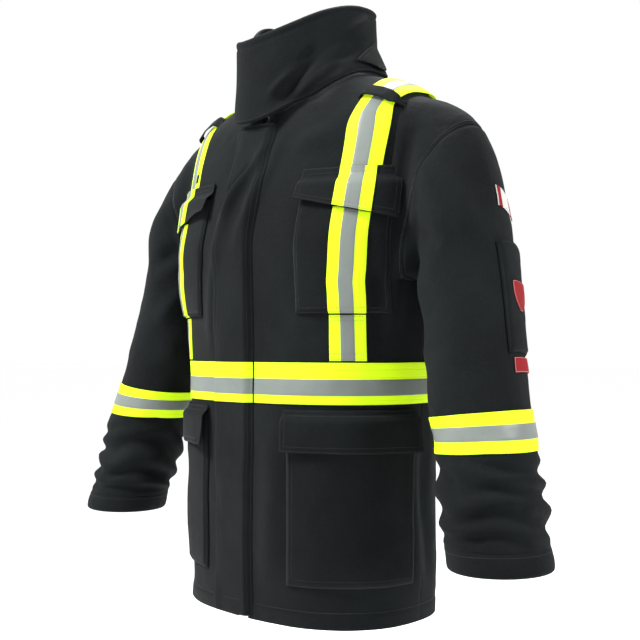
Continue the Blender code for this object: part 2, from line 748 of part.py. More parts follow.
def sleeve_skin(turn, level):
    """Point on the left sleeve's face: turn 0 is its outer side and a quarter turn its back."""
    low = min(int(level), LAST_RING - 1)
    part = level - low
    values = SLEEVE_RINGS[low] * (1 - part) + SLEEVE_RINGS[low + 1] * part
    outer = np.array((values[0], values[4], values[1]))
    inner = np.array((values[2], values[4], values[3]))
    depth = np.array((0, values[5], 0))
    return (outer + inner) / 2 + (outer - inner) / 2 * math.cos(turn) + depth * math.sin(turn)


def sleeve_lift(turn, level, out, side=1):
    above, below = max(level - NORMAL_RISE, 0), min(level + NORMAL_RISE, LAST_RING)
    around = sleeve_skin(turn + NORMAL_TURN, level) - sleeve_skin(turn - NORMAL_TURN, level)
    down = sleeve_skin(turn, below) - sleeve_skin(turn, above)
    normal = np.cross(down, around)
    point = sleeve_skin(turn, level) + normal / np.linalg.norm(normal) * out
    return point * (side, 1, 1)


def sleeve_tube(side, levels, out, columns=SLEEVE_COLUMNS):
    mesh = grid(
        columns,
        len(levels) - 1,
        lambda i, j: sleeve_lift(2 * math.pi * (i % columns) / columns, levels[j], out, side),
    )
    bmesh.ops.remove_doubles(mesh, verts=mesh.verts, dist=1e-6)
    return mesh


def sleeve_level(length_from_cuff):
    """Level at a length up the sleeve's middle line from the cuff's edge."""
    middles = (SLEEVE_RINGS[:, :2] + SLEEVE_RINGS[:, 2:4]) / 2
    points = np.column_stack((middles, SLEEVE_RINGS[:, 4]))[::-1]
    steps = np.linalg.norm(np.diff(points, axis=0), axis=1)
    lengths = np.concatenate(((0,), np.cumsum(steps)))
    return LAST_RING - float(np.interp(length_from_cuff, lengths, np.arange(LAST_RING + 1)))


def outer_level(z):
    """Level at which the sleeve's outer side is at height z."""
    return float(np.interp(-z, -SLEEVE_RINGS[:, 1], np.arange(LAST_RING + 1)))


def sleeve_patch(span, out, rows=2, outline=None):
    """A patch on the left sleeve's outer side, centred a little behind it."""
    half_width, top, bottom = span
    columns = 4

    def place(i, j):
        level = outer_level(bottom + (top - bottom) * j / rows)
        share = outline[j] if outline else 1
        reach = half_width / radius_at(level) * share * (2 * i / columns - 1)
        return sleeve_lift(math.radians(PATCH_TURN_DEG) + reach, level, out)

    return grid(columns, rows, place)


def make_sleeve(coat, side, name):
    pivot = (side * (ARMHOLE_X + ARMHOLE_GAP / 2), 0, SLEEVE_TOP_Z + SHELL / 2)
    coat.cloth(f"{name}_sleeve", sleeve_tube(side, SLEEVE_LEVELS, -SHELL / 2), SHELL, pivot=pivot)
    lining_levels = SLEEVE_LEVELS[1:]
    lining = sleeve_tube(side, lining_levels, -SHELL - LAYER_GAP - LINING / 2)
    coat.cloth(f"{name}_sleeve_lining", lining, LINING, "quilted_lining", pivot)
    cuff_levels = (LAST_RING - 1 + CUFF_SEAM_LEVEL, LAST_RING)
    cuff = sleeve_tube(side, cuff_levels, -SHELL)
    coat.cloth(f"{name}_cuff", cuff, 2 * SHELL, pivot=pivot)
    low = LEFT_TAPE_FROM_CUFF if side > 0 else RIGHT_TAPE_FROM_CUFF
    levels = [sleeve_level(low + TAPE_WIDTH * share) for share in (0, 0.5, 1)]
    tape = sleeve_tube(side, levels, TRIM_GAP + TRIM / 2, 2 * SLEEVE_COLUMNS)
    coat.cloth(f"{name}_sleeve_tape", tape, TRIM, "reflective_tape", pivot)
    return pivot


def radius_at(level):
    return float(np.interp(level, np.arange(LAST_RING + 1), SLEEVE_RINGS[:, 5]))


def arm_pocket_sheet():
    """The arm pocket's raised face with turned-in edges at both sides and the bottom."""
    columns, rows = ARM_POCKET_COLUMNS, ARM_POCKET_ROWS
    height = ARM_POCKET_TOP - ARM_POCKET_BOTTOM

    def place(i, j):
        z = ARM_POCKET_BOTTOM + height * max(j - 1, 0) / (rows - 1) - ARM_POCKET_FLARE * (j == 0)
        level = outer_level(z)
        share = 2 * (min(max(i, 1), columns - 1) - 1) / (columns - 2) - 1
        reach = share * ARM_POCKET_HALF_WIDTH + ARM_POCKET_FLARE * ((i == columns) - (i == 0))
        out = TRIM_GAP + FABRIC / 2 if i in (0, columns) or j == 0 else ARM_POCKET_OUT
        return sleeve_lift(math.radians(PATCH_TURN_DEG) + reach / radius_at(level), level, out)

    return grid(columns, rows, place)


def make_sleeve_trim(coat, pivot):
    """The arm pocket with its badge, the patch above it and the label below it, on the left sleeve."""
    coat.cloth("arm_pocket", arm_pocket_sheet(), FABRIC, pivot=pivot)
    trim_out = TRIM_GAP + TRIM / 2
    patch_span = (ARM_PATCH_HALF_WIDTH, ARM_PATCH_TOP, ARM_PATCH_BOTTOM)
    coat.cloth("striped_arm_patch", sleeve_patch(patch_span, trim_out), TRIM, "patch_cloth", pivot)
    badge_out = ARM_POCKET_OUT + FABRIC / 2 + FLAP_GAP + TRIM / 2
    badge_span = (BADGE_HALF_WIDTH, BADGE_TOP, BADGE_BOTTOM)
    badge = sleeve_patch(badge_span, badge_out, BADGE_ROWS, BADGE_OUTLINE)
    coat.cloth("shield_badge", badge, TRIM, "red_label", pivot)
    label_span = (LABEL_HALF_WIDTH, LABEL_TOP, LABEL_BOTTOM)
    coat.cloth("red_arm_label", sleeve_patch(label_span, trim_out), TRIM, "red_label", pivot)


def main():
    clear_scene()
    coat = Coat()
    make_body(coat)
    make_collar(coat)
    make_throat_tab(coat)
    make_hang_loop(coat)
    make_zip(coat)
    make_storm_flap(coat)
    make_waist_tape(coat)
    for side, name in ((1, "left"), (-1, "right")):
        make_chest_pocket(coat, side, name)
        make_cargo_pocket(coat, side, name)
        make_shoulder_tape(coat, side, name)
        pivot = make_sleeve(coat, side, name)
        if side == 1:
            make_sleeve_trim(coat, pivot)


main()
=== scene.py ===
import itertools
import math

import bmesh
import bpy
import numpy as np
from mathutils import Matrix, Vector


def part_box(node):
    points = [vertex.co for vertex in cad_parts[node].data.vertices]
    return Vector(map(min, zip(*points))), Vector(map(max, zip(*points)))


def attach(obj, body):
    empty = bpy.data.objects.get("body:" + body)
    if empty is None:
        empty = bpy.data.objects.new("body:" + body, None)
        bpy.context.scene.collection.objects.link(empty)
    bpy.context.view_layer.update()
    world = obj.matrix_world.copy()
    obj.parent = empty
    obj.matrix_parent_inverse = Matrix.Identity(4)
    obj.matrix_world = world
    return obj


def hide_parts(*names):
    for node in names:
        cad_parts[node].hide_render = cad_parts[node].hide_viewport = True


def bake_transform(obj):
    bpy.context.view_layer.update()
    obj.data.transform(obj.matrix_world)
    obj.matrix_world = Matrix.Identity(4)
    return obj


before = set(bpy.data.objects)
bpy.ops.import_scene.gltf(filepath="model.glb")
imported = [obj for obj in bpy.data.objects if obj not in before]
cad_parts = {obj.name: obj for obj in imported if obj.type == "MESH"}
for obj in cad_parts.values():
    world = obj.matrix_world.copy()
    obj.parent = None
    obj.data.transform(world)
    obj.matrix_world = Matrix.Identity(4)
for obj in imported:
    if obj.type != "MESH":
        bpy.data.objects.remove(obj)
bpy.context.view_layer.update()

bl_info = {
    "name": "Reflective trim parka",
    "version": (1, 0, 0),
    "blender": (4, 5, 0),
    "location": "3D View > Sidebar > Coat",
    "description": "Dresses the coat's frame with cloth, trim, zip, stitching and a studio",
    "category": "Add Mesh",
}

# Body sections, hem first and neck last: half width, Y at front, side and back, Z at front,
# side and back, squareness of the plan
FRONT_Y, SIDE_Y, BACK_Y = -0.165, -0.012, 0.107
BREAK_Z, NECK_Z, NECK_Y = -0.275, -0.085, -0.112


def front_line(z):
    return float(np.interp(z, (BREAK_Z, NECK_Z), (FRONT_Y, NECK_Y)))


def upright(half_width, z):
    return (half_width, FRONT_Y, SIDE_Y, BACK_Y, z, z, z, 2.5)


SECTIONS = np.array(
    (
        upright(0.2, -0.82),
        upright(0.202, -0.4734),
        upright(0.226, -0.335),
        upright(0.226, BREAK_Z),
        (0.226, front_line(-0.2), SIDE_Y, BACK_Y, -0.2, -0.17, -0.16, 2.5),
        (0.218, front_line(-0.14), -0.006, 0.1, -0.14, -0.074, -0.07, 2.5),
        (0.153, front_line(-0.112), -0.004, 0.09, -0.112, -0.042, -0.03, 2.3),
        (0.088, NECK_Y, 0.0, 0.08, NECK_Z, -0.018, 0.0, 2.1),
    )
)
TOP = len(SECTIONS) - 1
ARMHOLE_X, ARMHOLE_FLOOR = 0.206, -0.339

# Sleeve rings: outer X and Z, inner X and Z, middle Y, half depth
RINGS = np.array(
    (
        (0.206, -0.075, 0.206, -0.335, -0.004, 0.067),
        (0.262, -0.096, 0.23, -0.335, -0.006, 0.073),
        (0.3, -0.125, 0.234, -0.356, -0.01, 0.078),
        (0.326, -0.2, 0.238, -0.385, -0.018, 0.081),
        (0.349, -0.3, 0.241, -0.42, -0.024, 0.077),
        (0.375, -0.42, 0.246, -0.465, -0.038, 0.072),
        (0.401, -0.523, 0.267, -0.53, -0.055, 0.068),
        (0.424, -0.615, 0.291, -0.62, -0.069, 0.0665),
        (0.4405, -0.684, 0.3075, -0.688, -0.081, 0.0665),
        (0.4465, -0.706, 0.3135, -0.71, -0.084, 0.0665),
    )
)
LAST = len(RINGS) - 1

TAPE = 0.0508
WAIST_TOP = -0.448
CHEST_FLAP = (-0.192, -0.252)
CHEST_POCKET = (-0.205, -0.384)
CHEST_ARCS = (0.096, 0.232)
CARGO_FLAP = (-0.512, -0.576)
CARGO_POCKET = (-0.525, -0.762)
CARGO_ARCS = (0.083, 0.27)
STORM_ARCS = (-0.053, 0.021)
STORM_Z = (-0.815, -0.103)
STORM_OUT = 0.0085
STITCH_FROM_EDGE = (0.0022, 0.0085)


def smooth(share):
    share = np.clip(share, 0, 1)
    return share * share * (3 - 2 * share)


def swell(points, size, seed):
    """Soft noise from -1 to 1 at points, with features of one size."""
    place = np.asarray(points) / size + seed * 17.31
    cell = np.floor(place)
    part = smooth(place - cell)
    total = np.zeros(place.shape[:-1])
    for corner in itertools.product((0, 1), repeat=3):
        code = (cell + corner) @ np.array((127.1, 311.7, 74.7))
        value = np.sin(code) * 43758.5453
        value = 2 * (value - np.floor(value)) - 1
        total += value * np.prod(np.where(corner, part, 1 - part), axis=-1)
    return total


def plain_skin(turn, level):
    low = np.clip(level.astype(int), 0, TOP - 1)
    part = (level - low)[..., None]
    mixed = SECTIONS[low] * (1 - part) + SECTIONS[low + 1] * part
    half, front, side, back, front_z, side_z, back_z, square = np.moveaxis(mixed, -1, 0)
    across, ahead = np.sin(turn), np.cos(turn)
    end_y = np.where(ahead > 0, front, back)
    end_z = np.where(ahead > 0, front_z, back_z)
    x = half * np.sign(across) * np.abs(across) ** (2 / square)
    y = side + (end_y - side) * np.abs(ahead) ** (2 / square)
    z = side_z + (end_z - side_z) * ahead**2
    return np.stack((x, y, z), -1)


def skin(turn, level):
    """Points on the body's face, with the creases between sections rounded."""
    turn, level = np.broadcast_arrays(np.asarray(turn, float), np.asarray(level, float))
    level = np.clip(level, 0, TOP)
    reach = np.minimum(np.interp(level, (3.5, 5), (0.3, 0.45)), np.minimum(level, TOP - level))
    total = 0
    for share, weight in ((-1, 0.15), (-0.5, 0.22), (0, 0.26), (0.5, 0.22), (1, 0.15)):
        total = total + weight * plain_skin(turn, level + share * reach)
    return total


def normals_of(surface, turn, level, top, order=1):
    turn, level = np.broadcast_arrays(np.asarray(turn, float), np.asarray(level, float))
    around = surface(turn + 0.026, level) - surface(turn - 0.026, level)
    rise = surface(turn, np.minimum(level + 0.12, top)) - surface(turn, np.maximum(level - 0.12, 0))
    normal = np.cross(around, rise) * order
    return normal / np.linalg.norm(normal, axis=-1, keepdims=True)


def level_at(turn, z):
    turn, z = np.broadcast_arrays(np.asarray(turn, float), np.asarray(z, float))
    ahead = np.cos(turn)[..., None]
    ends = np.where(ahead > 0, SECTIONS[:, 4], SECTIONS[:, 6])
    heights = SECTIONS[:, 5] + (ends - SECTIONS[:, 5]) * ahead**2
    low = np.clip((heights <= z[..., None]).sum(-1) - 1, 0, TOP - 1)[..., None]
    below = np.take_along_axis(heights, low, -1)[..., 0]
    above = np.take_along_axis(heights, low + 1, -1)[..., 0]
    return np.clip(low[..., 0] + (z - below) / (above - below), 0, TOP)


def length_tables(z):
    turns = np.linspace(0, math.pi, 181)
    points = plain_skin(turns, level_at(turns, z))
    steps = np.linalg.norm(np.diff(points, axis=0), axis=1)
    return turns, np.concatenate(((0,), np.cumsum(steps))), points[:, 0]


def turn_round(arc, z):
    """Turn at a length round the coat from the centre front, positive to the wearer's left."""
    arc, z = np.broadcast_arrays(np.asarray(arc, float), np.asarray(z, float))
    keys = np.round(z, 4)
    turn = np.zeros(arc.shape)
    for key in np.unique(keys):
        turns, lengths, _ = length_tables(key)
        same = keys == key
        turn[same] = np.sign(arc[same]) * np.interp(np.abs(arc[same]), lengths, turns)
    return turn


def arc_at(x, z):
    """Length round the front to a sideways distance x, for arrays of heights."""
    x, z = np.broadcast_arrays(np.asarray(x, float), np.asarray(z, float))
    arc = np.zeros(x.shape)
    for key in np.unique(np.round(z, 4)):
        _, lengths, widths = length_tables(key)
        same = np.round(z, 4) == key
        arc[same] = np.interp(x[same], widths[:90], lengths[:90])
    return arc


def on_body(arc, z):
    turn = turn_round(arc, z)
    return skin(turn, level_at(turn, z))


def crease(points, ends, width, depth):
    """A long fold: a bump or a dent along the segment between two points, tapering to its ends."""
    start, end = (np.array(on_body(*at)) for at in ends)
    along = end - start
    share = ((points - start) @ along) / (along @ along)
    nearest = start + np.clip(share, 0, 1)[..., None] * along
    distance = np.linalg.norm(points - nearest, axis=-1)
    taper = np.sin(math.pi * np.clip(share, 0.02, 0.98)) ** 0.7
    return depth * taper * np.exp(-((distance / width) ** 2))


# Folds of the body cloth: arc and height at each end, width, depth
BODY_CREASES = (
    (((0.012, -0.135), (-0.045, -0.25)), 0.009, 0.0045),
    (((0.0, -0.15), (-0.058, -0.22)), 0.007, -0.003),
    (((0.035, -0.12), (-0.005, -0.29)), 0.01, 0.003),
    (((-0.02, -0.17), (-0.05, -0.31)), 0.012, 0.0035),
    (((0.06, -0.15), (0.14, -0.12)), 0.02, 0.003),
    (((0.2, -0.26), (0.222, -0.43)), 0.012, -0.004),
    (((0.245, -0.3), (0.225, -0.44)), 0.014, 0.004),
    (((0.04, -0.41), (0.13, -0.44)), 0.012, 0.0022),
    (((0.06, -0.52), (0.05, -0.78)), 0.022, 0.003),
    (((0.265, -0.5), (0.285, -0.78)), 0.016, 0.004),
    (((0.3, -0.52), (0.31, -0.76)), 0.013, -0.004),
    (((-0.26, -0.5), (-0.28, -0.78)), 0.018, 0.004),
    (((-0.06, -0.27), (-0.075, -0.43)), 0.014, 0.003),
    (((0.36, -0.36), (0.42, -0.45)), 0.02, 0.004),
    (((-0.36, -0.34), (-0.42, -0.45)), 0.02, 0.004),
    (((0.4, -0.5), (0.44, -0.8)), 0.028, 0.004),
    (((-0.4, -0.52), (-0.46, -0.8)), 0.028, 0.004),
    (((0.5, -0.48), (0.5, -0.8)), 0.02, -0.003),
    (((0.3, -0.2), (0.38, -0.32)), 0.018, -0.003),
    (((-0.3, -0.2), (-0.38, -0.32)), 0.018, -0.003),
)


def body_folds(points):
    """How far the body's cloth stands out of its smooth shape."""
    folds = 0.0018 * swell(points, 0.12, 1) + 0.0007 * swell(points, 0.045, 2)
    folds = folds + 0.00025 * swell(points, 0.016, 3)
    for ends, width, depth in BODY_CREASES:
        folds = folds + crease(points, ends, width, depth)
    shoulder = smooth((ARMHOLE_X - np.abs(points[..., 0])) / 0.03)
    kept = np.where(points[..., 2] > ARMHOLE_FLOOR + 0.01, shoulder, 1)
    return folds * kept * coat_settings().wrinkles


def lay(turn, level, out):
    """Points at a distance out from the body's folded face, and the way out there."""
    base = skin(turn, level)
    normal = normals_of(skin, turn, level, TOP)
    out = np.asarray(out) + body_folds(base)
    return base + normal * out[..., None], normal


def wrap(arc, z, out):
    turn = turn_round(arc, z)
    return lay(turn, level_at(turn, z), out)


def spread(start, end, step, rim=(0.0004, 0.0011, 0.0022)):
    """Places from start to end, close together at both ends so that an edge can roll."""
    count = max(2, round(abs(end - start) / step))
    places = np.linspace(start, end, count + 1)
    way = math.copysign(1, end - start)
    near = [start + way * gap for gap in rim]
    far = [end - way * gap for gap in reversed(rim)]
    inner = [p for p in places[1:-1] if min(abs(p - start), abs(p - end)) > 1.5 * rim[-1]]
    return np.array([start, *near, *inner, *far, end])


def reach_along(points):
    steps = np.linalg.norm(np.diff(points, axis=0), axis=1)
    return np.concatenate(((0,), np.cumsum(steps)))


def rim_distance(points, finished):
    """Distance from the nearest finished edge: left, right, bottom, top."""
    rows, columns = points.shape[:2]
    across = reach_along(points[rows // 2])
    upward = reach_along(points[:, columns // 2])
    gaps = np.full((rows, columns), 1.0)
    for used, gap in zip(
        finished,
        (
            across[None, :],
            (across[-1] - across)[None, :],
            upward[:, None],
            (upward[-1] - upward)[:, None],
        ),
    ):
        if used:
            gaps = np.minimum(gaps, gap)
    return gaps


def quads(rows, columns, closed, start=0):
    row, column = np.meshgrid(np.arange(rows - 1), np.arange(columns - (not closed)), indexing="ij")
    after = (column + 1) % columns
    a = start + row * columns + column
    b = start + row * columns + after
    return np.stack((a, b, b + columns, a + columns), -1).reshape(-1, 4)


def cloth(name, points, normals, thickness, uv, finished=(1, 1, 1, 1), closed=False, inside=0):
    """A sheet with two faces and rolled edges, from rows of points and the way out at each."""
    rows, columns = points.shape[:2]
    gap = rim_distance(points, finished)
    share = np.clip(gap / (thickness * 0.6), 0, 1)
    roll = np.maximum(np.sqrt(1 - (1 - share) ** 2), 0.12)
    half = (thickness / 2 * roll)[..., None]
    round_it = np.concatenate((points, points[:, :1]), 1) if closed else points
    CUTS[name] = tuple(
        float(np.linalg.norm(np.diff(rows_of, axis=0), axis=-1).sum(0).max())
        for rows_of in (round_it.swapaxes(0, 1), points)
    )
    front = points + normals * half
    back = points - normals * (half - np.broadcast_to(inside, gap.shape)[..., None] * roll[..., None])
    count = rows * columns
    face = quads(rows, columns, closed)
    sides = [face, quads(rows, columns, closed, count)[:, ::-1]]
    lower, upper = np.arange(columns), np.arange(columns) + (rows - 1) * columns
    rims = [(lower, False), (upper, True)]
    if not closed:
        edge = np.arange(rows) * columns
        rims += [(edge, True), (edge + columns - 1, False)]
    for line, turned in rims:
        after = np.roll(line, -1) if closed and len(line) == columns else line[1:]
        line = line if closed and len(line) == columns else line[:-1]
        strip = np.stack((line, line + count, after + count, after), -1)
        sides.append(strip[:, ::-1] if turned else strip)
    faces = np.concatenate(sides)
    vertices = np.concatenate((front.reshape(-1, 3), back.reshape(-1, 3)))
    a, b, c = (front.reshape(-1, 3)[face[len(face) // 2][k]] for k in range(3))
    if np.dot(np.cross(b - a, c - a), normals.reshape(-1, 3)[face[len(face) // 2][0]]) < 0:
        faces = faces[:, ::-1]
    mesh = bpy.data.meshes.new(name)
    mesh.from_pydata(vertices.tolist(), [], faces.tolist())
    both = np.concatenate((uv.reshape(-1, 2), uv.reshape(-1, 2)))
    corners = np.empty(len(mesh.loops), np.int32)
    mesh.loops.foreach_get("vertex_index", corners)
    layer = mesh.uv_layers.new(name="cloth")
    layer.data.foreach_set("uv", both[corners].astype(np.float32).ravel())
    worn = np.clip(1 - gap / 0.004, 0, 1).reshape(-1)
    attribute = mesh.attributes.new("worn", "FLOAT", "POINT")
    attribute.data.foreach_set("value", np.concatenate((worn, worn)).astype(np.float32))
    mesh.shade_smooth()
    obj = bpy.data.objects.new(name, mesh)
    bpy.context.scene.collection.objects.link(obj)
    return obj


# How each kind of cloth piece is held, and what it lies on, with SIDE for left or right
HOLDING = {
    "storm_flap_cloth": ("hung", "left_front"),
    "storm_flap_tape": ("laid", "storm_flap_cloth"),
    "SIDE_chest_pocket_cloth": ("laid", "SIDE_front"),
    "SIDE_cargo_pocket_cloth": ("laid", "SIDE_front"),
    "SIDE_chest_flap_cloth": ("hung", "SIDE_chest_pocket_cloth"),
    "SIDE_cargo_flap_cloth": ("hung", "SIDE_cargo_pocket_cloth"),
    "SIDE_flap_trim": ("laid", "SIDE_chest_flap_cloth"),
    "SIDE_pocket_trim": ("laid", "SIDE_chest_pocket_cloth"),
    "SIDE_lower_trim": ("laid", "SIDE_front"),
    "SIDE_shoulder_trim": ("laid", "back"),
    "SIDE_mike_loop": ("laid", "SIDE_shoulder_trim"),
    "waist_trim": ("laid", "back"),
    "SIDE_sleeve_cloth": ("hung", "SIDE_sleeve_quilting"),
    "SIDE_cuff_cloth": ("hung", "SIDE_sleeve_cloth"),
    "SIDE_sleeve_trim": ("laid", "SIDE_sleeve_cloth"),
    "arm_pocket_cloth": ("laid", "left_sleeve_cloth"),
    "striped_patch": ("laid", "left_sleeve_cloth"),
    "plain_badge": ("laid", "arm_pocket_cloth"),
    "red_tag": ("laid", "left_sleeve_cloth"),
    "throat_tab_cloth": ("laid", "collar_cloth"),
}
CUTS = {}


def declare_sheet(obj):
    """Works out how large a cloth piece's flat cut is, from its own cloth laid out, and does nothing further with it.
    """
    side = obj.name.split("_")[0]
    kind = obj.name.replace(side, "SIDE", 1) if side in ("left", "right") else obj.name
    if kind not in HOLDING:
        return
    width, length = CUTS[obj.name]
    area = sum(face.area for face in obj.data.polygons) / 2
    area = min(max(area, 0.31 * width * length), width * length)


def finish_piece(obj, slot, nodes, body="coat", seam=None):
    """Gives a piece its material, hides the frame nodes it stands for, and hangs it under its body's empty, or only
    bakes its transform when a seam is given.
    """
    obj.data.materials.append(material_of(slot))
    if nodes:
        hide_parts(*nodes)
    if seam:
        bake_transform(obj)
    else:
        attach(obj, body)
    declare_sheet(obj)
    return obj


THREADS = {}


def stitch(points, normals, body="coat", pitch=0.0034, colour="thread"):
    """One row of stitches along a line of points, kept until the stitching is made."""
    lengths = reach_along(points)
    count = max(1, int(lengths[-1] / pitch))
    starts = (np.arange(count) + 0.2) * pitch
    ends = starts + pitch * 0.66
    sample = lambda at, rows: np.stack([np.interp(at, lengths, rows[:, k]) for k in range(3)], -1)
    a, b = sample(starts, points), sample(ends, points)
    up = sample((starts + ends) / 2, normals)
    up /= np.linalg.norm(up, axis=1, keepdims=True)
    THREADS.setdefault((body, colour), []).append((a, b, up))


def stitch_lines(points, normals, half, body, insets=STITCH_FROM_EDGE, edges=(1, 1, 1, 1), lift=0.0):
    """Rows of stitches at set distances inside the edges of a sheet: left, right, bottom, top."""
    rows, columns = points.shape[:2]
    across = reach_along(points[rows // 2])
    upward = reach_along(points[:, columns // 2])
    face = points + normals * (half + lift)

    def column_at(gap):
        place = np.interp(gap, across, np.arange(columns))
        low = min(int(place), columns - 2)
        part = place - low
        return (face[:, low] * (1 - part) + face[:, low + 1] * part, normals[:, low])

    def row_at(gap):
        place = np.interp(gap, upward, np.arange(rows))
        low = min(int(place), rows - 2)
        part = place - low
        return (face[low] * (1 - part) + face[low + 1] * part, normals[low])

    for inset in insets:
        lines = (
            column_at(inset),
            column_at(across[-1] - inset),
            row_at(inset),
            row_at(upward[-1] - inset),
        )
        for used, kind, (line, way) in zip(edges, "ccrr", lines):
            if not used:
                continue
            lengths = upward if kind == "c" else across
            kept = (lengths >= inset * 0.9) & (lengths <= lengths[-1] - inset * 0.9)
            if kept.sum() > 1:
                stitch(line[kept], way[kept], body)


def uv_grid(across, upward):
    u, v = np.meshgrid(across, upward)
    return np.stack((u, v), -1)


def cut_sleeve_holes(obj):
    """Takes away what lies beyond the armhole planes, above the armpit."""
    mesh = bmesh.new()
    mesh.from_mesh(obj.data)
    for x in (ARMHOLE_X, -ARMHOLE_X):
        parts = mesh.verts[:] + mesh.edges[:] + mesh.faces[:]
        bmesh.ops.bisect_plane(mesh, geom=parts, plane_co=(x, 0, 0), plane_no=(1, 0, 0), dist=1e-6)
    parts = mesh.verts[:] + mesh.edges[:] + mesh.faces[:]
    floor = (0, 0, ARMHOLE_FLOOR)
    bmesh.ops.bisect_plane(mesh, geom=parts, plane_co=floor, plane_no=(0, 0, 1), dist=1e-6)
    middles = [(face, face.calc_center_median()) for face in mesh.faces]
    gone = [f for f, at in middles if abs(at.x) > ARMHOLE_X and at.z > ARMHOLE_FLOOR]
    bmesh.ops.delete(mesh, geom=gone, context="FACES")
    mesh.to_mesh(obj.data)
    mesh.free()


def level_rows(fine):
    """Levels from hem to neck, evenly spaced over the cloth's height."""
    heights = (0.347, 0.138, 0.06, 0.09, 0.085, 0.075, 0.07)
    rows = [0.0, 0.0012, 0.003, 0.006]
    for section, height in enumerate(heights):
        steps = max(2, round(height / fine))
        rows += [section + k / steps for k in range(steps)]
    return np.unique(np.array(rows + [TOP]))


def quarter_turns(quarters, level):
    """Turns at numbers of quarter rounds for one level: 0 front, 1 side, 2 back."""
    quarters = np.asarray(quarters, float)
    turns = np.linspace(0, math.pi, 241)
    points = plain_skin(turns, np.full(turns.shape, level))
    lengths = reach_along(points)
    half = lengths[120]
    size = np.abs(quarters)
    target = np.where(size > 1, half + (size - 1) * (lengths[-1] - half), size * half)
    return np.sign(quarters) * np.interp(target, lengths, turns), half, lengths[-1] - half


def body_part(name, first, last, columns, out, thickness, rows, quilt=False):
    """Part of the body between two places given as lengths from the front edge or quarters."""
    turn = np.empty((len(rows), columns + 1))
    across = np.linspace(0, 1, columns + 1)
    uv = np.empty((len(rows), columns + 1, 2))
    for j, level in enumerate(rows):
        start, end = first(level), last(level)
        quarters = start + (end - start) * across
        turn[j], front, back = quarter_turns(quarters, level)
        uv[j, :, 0] = np.where(np.abs(quarters) > 1, quarters * back, quarters * front)
    level = np.repeat(rows[:, None], columns + 1, axis=1)
    base = skin(turn, level)
    uv[..., 1] = base[..., 2]
    hem = 0.0012 * smooth((-0.797 - base[..., 2]) / 0.002)
    outside = out + (0 if quilt else hem)
    points, normals = lay(turn, level, outside)
    inside = quilt_depth(uv) if quilt else 0
    return cloth(name, points, normals, thickness, uv, (0, 0, 1, 0), inside=inside), (points, normals, level)


def quilt_depth(uv, size=0.052):
    """Diamond quilting: how far the inner face sinks towards the seams, in metres."""
    u, v = uv[..., 0] / size, uv[..., 1] / size
    a = np.abs(np.sin(math.pi * (u + v) / 2))
    b = np.abs(np.sin(math.pi * (u - v) / 2))
    return 0.0032 * (1 - np.minimum(a, b) ** 0.45)


def make_body():
    step = 0.0048
    rows = level_rows(step)
    zip_edge = lambda level: 0.0092 / quarter_turns([1], level)[1]
    parts = (
        ("left_front", zip_edge, lambda level: 1.003, 0.3, ("left_front_panel",)),
        ("right_front", lambda level: -1.003, lambda level: -zip_edge(level), 0.3, ("right_front_panel",)),
        ("back", lambda level: 0.997, lambda level: 3.003, 0.56, ("back_panel",)),
    )
    for name, first, last, width, nodes in parts:
        if name == "back":
            obj = back_part(name, rows, round(width / step), -0.0015, 0.003)
        else:
            obj, laid = body_part(name, first, last, round(width / step), -0.0015, 0.003, rows)
            points, normals, _ = laid
            seam = -2 if name == "left_front" else 1
            stitch(points[:, seam] + normals[:, seam] * 0.0016, normals[:, seam])
            row = np.argmin(np.abs(points[:, 20, 2] + 0.797))
            stitch(points[row] + normals[row] * 0.0016, normals[row])
        cut_sleeve_holes(obj)
        finish_piece(obj, "shell_fabric", nodes)


def back_part(name, rows, columns, out, thickness, quilt=False, whole=False):
    """The back from one side seam to the other, or the whole lining round from the zip."""
    start = 0.06 if whole else 0.997
    first = np.linspace(start, 2, columns // 2 + 1)
    quarters = np.concatenate((first, -first[-2::-1]))
    turn = np.empty((len(rows), len(quarters)))
    uv = np.empty((len(rows), len(quarters), 2))
    for j, level in enumerate(rows):
        turns, front, back = quarter_turns(quarters, level)
        turn[j] = np.where(turns < 0, turns + 2 * math.pi, turns)
        uv[j, :, 0] = np.where(quarters < 0, 4 + quarters, quarters) * back
    level = np.repeat(rows[:, None], len(quarters), axis=1)
    base = skin(turn, level)
    uv[..., 1] = base[..., 2]
    hem = 0 if quilt else 0.0012 * smooth((-0.797 - base[..., 2]) / 0.002)
    points, normals = lay(turn, level, out + hem)
    if not quilt:
        row = int(np.argmin(np.abs(points[:, 30, 2] + 0.797)))
        stitch(points[row] + normals[row] * 0.0016, normals[row])
    inside = quilt_depth(uv) if quilt else 0
    return cloth(name, points, normals, thickness, uv, (0, 0, 1, 0), inside=inside)


def make_lining():
    rows = level_rows(0.0065)
    obj = back_part("body_lining", rows, 190, -0.0078, 0.006, quilt=True, whole=True)
    cut_sleeve_holes(obj)
    finish_piece(obj, "quilted_lining", ("quilted_body_lining",))


def patch(name, arcs, heights, out, thickness, finished=(1, 1, 1, 1), slant=None):
    """A piece of cloth on the body: out is a function of arc and height, slant moves its heights."""
    arc, z = np.meshgrid(arcs, heights)
    if slant:
        z = slant(np.abs(arc), z)
    points, normals = wrap(arc, z, out(arc, z))
    uv = np.stack((arc, z), -1)
    return cloth(name, points, normals, thickness, uv, finished), points, normals


def storm_out(arc, z):
    free = smooth((STORM_ARCS[0] + 0.02 - arc) / 0.02)
    ripple = 0.0012 * np.sin(z * 23 + 1.3) + 0.0008 * np.sin(z * 61)
    sewn = smooth((arc - STORM_ARCS[1] + 0.012) / 0.012)
    return STORM_OUT - 0.0092 * sewn + free * ripple


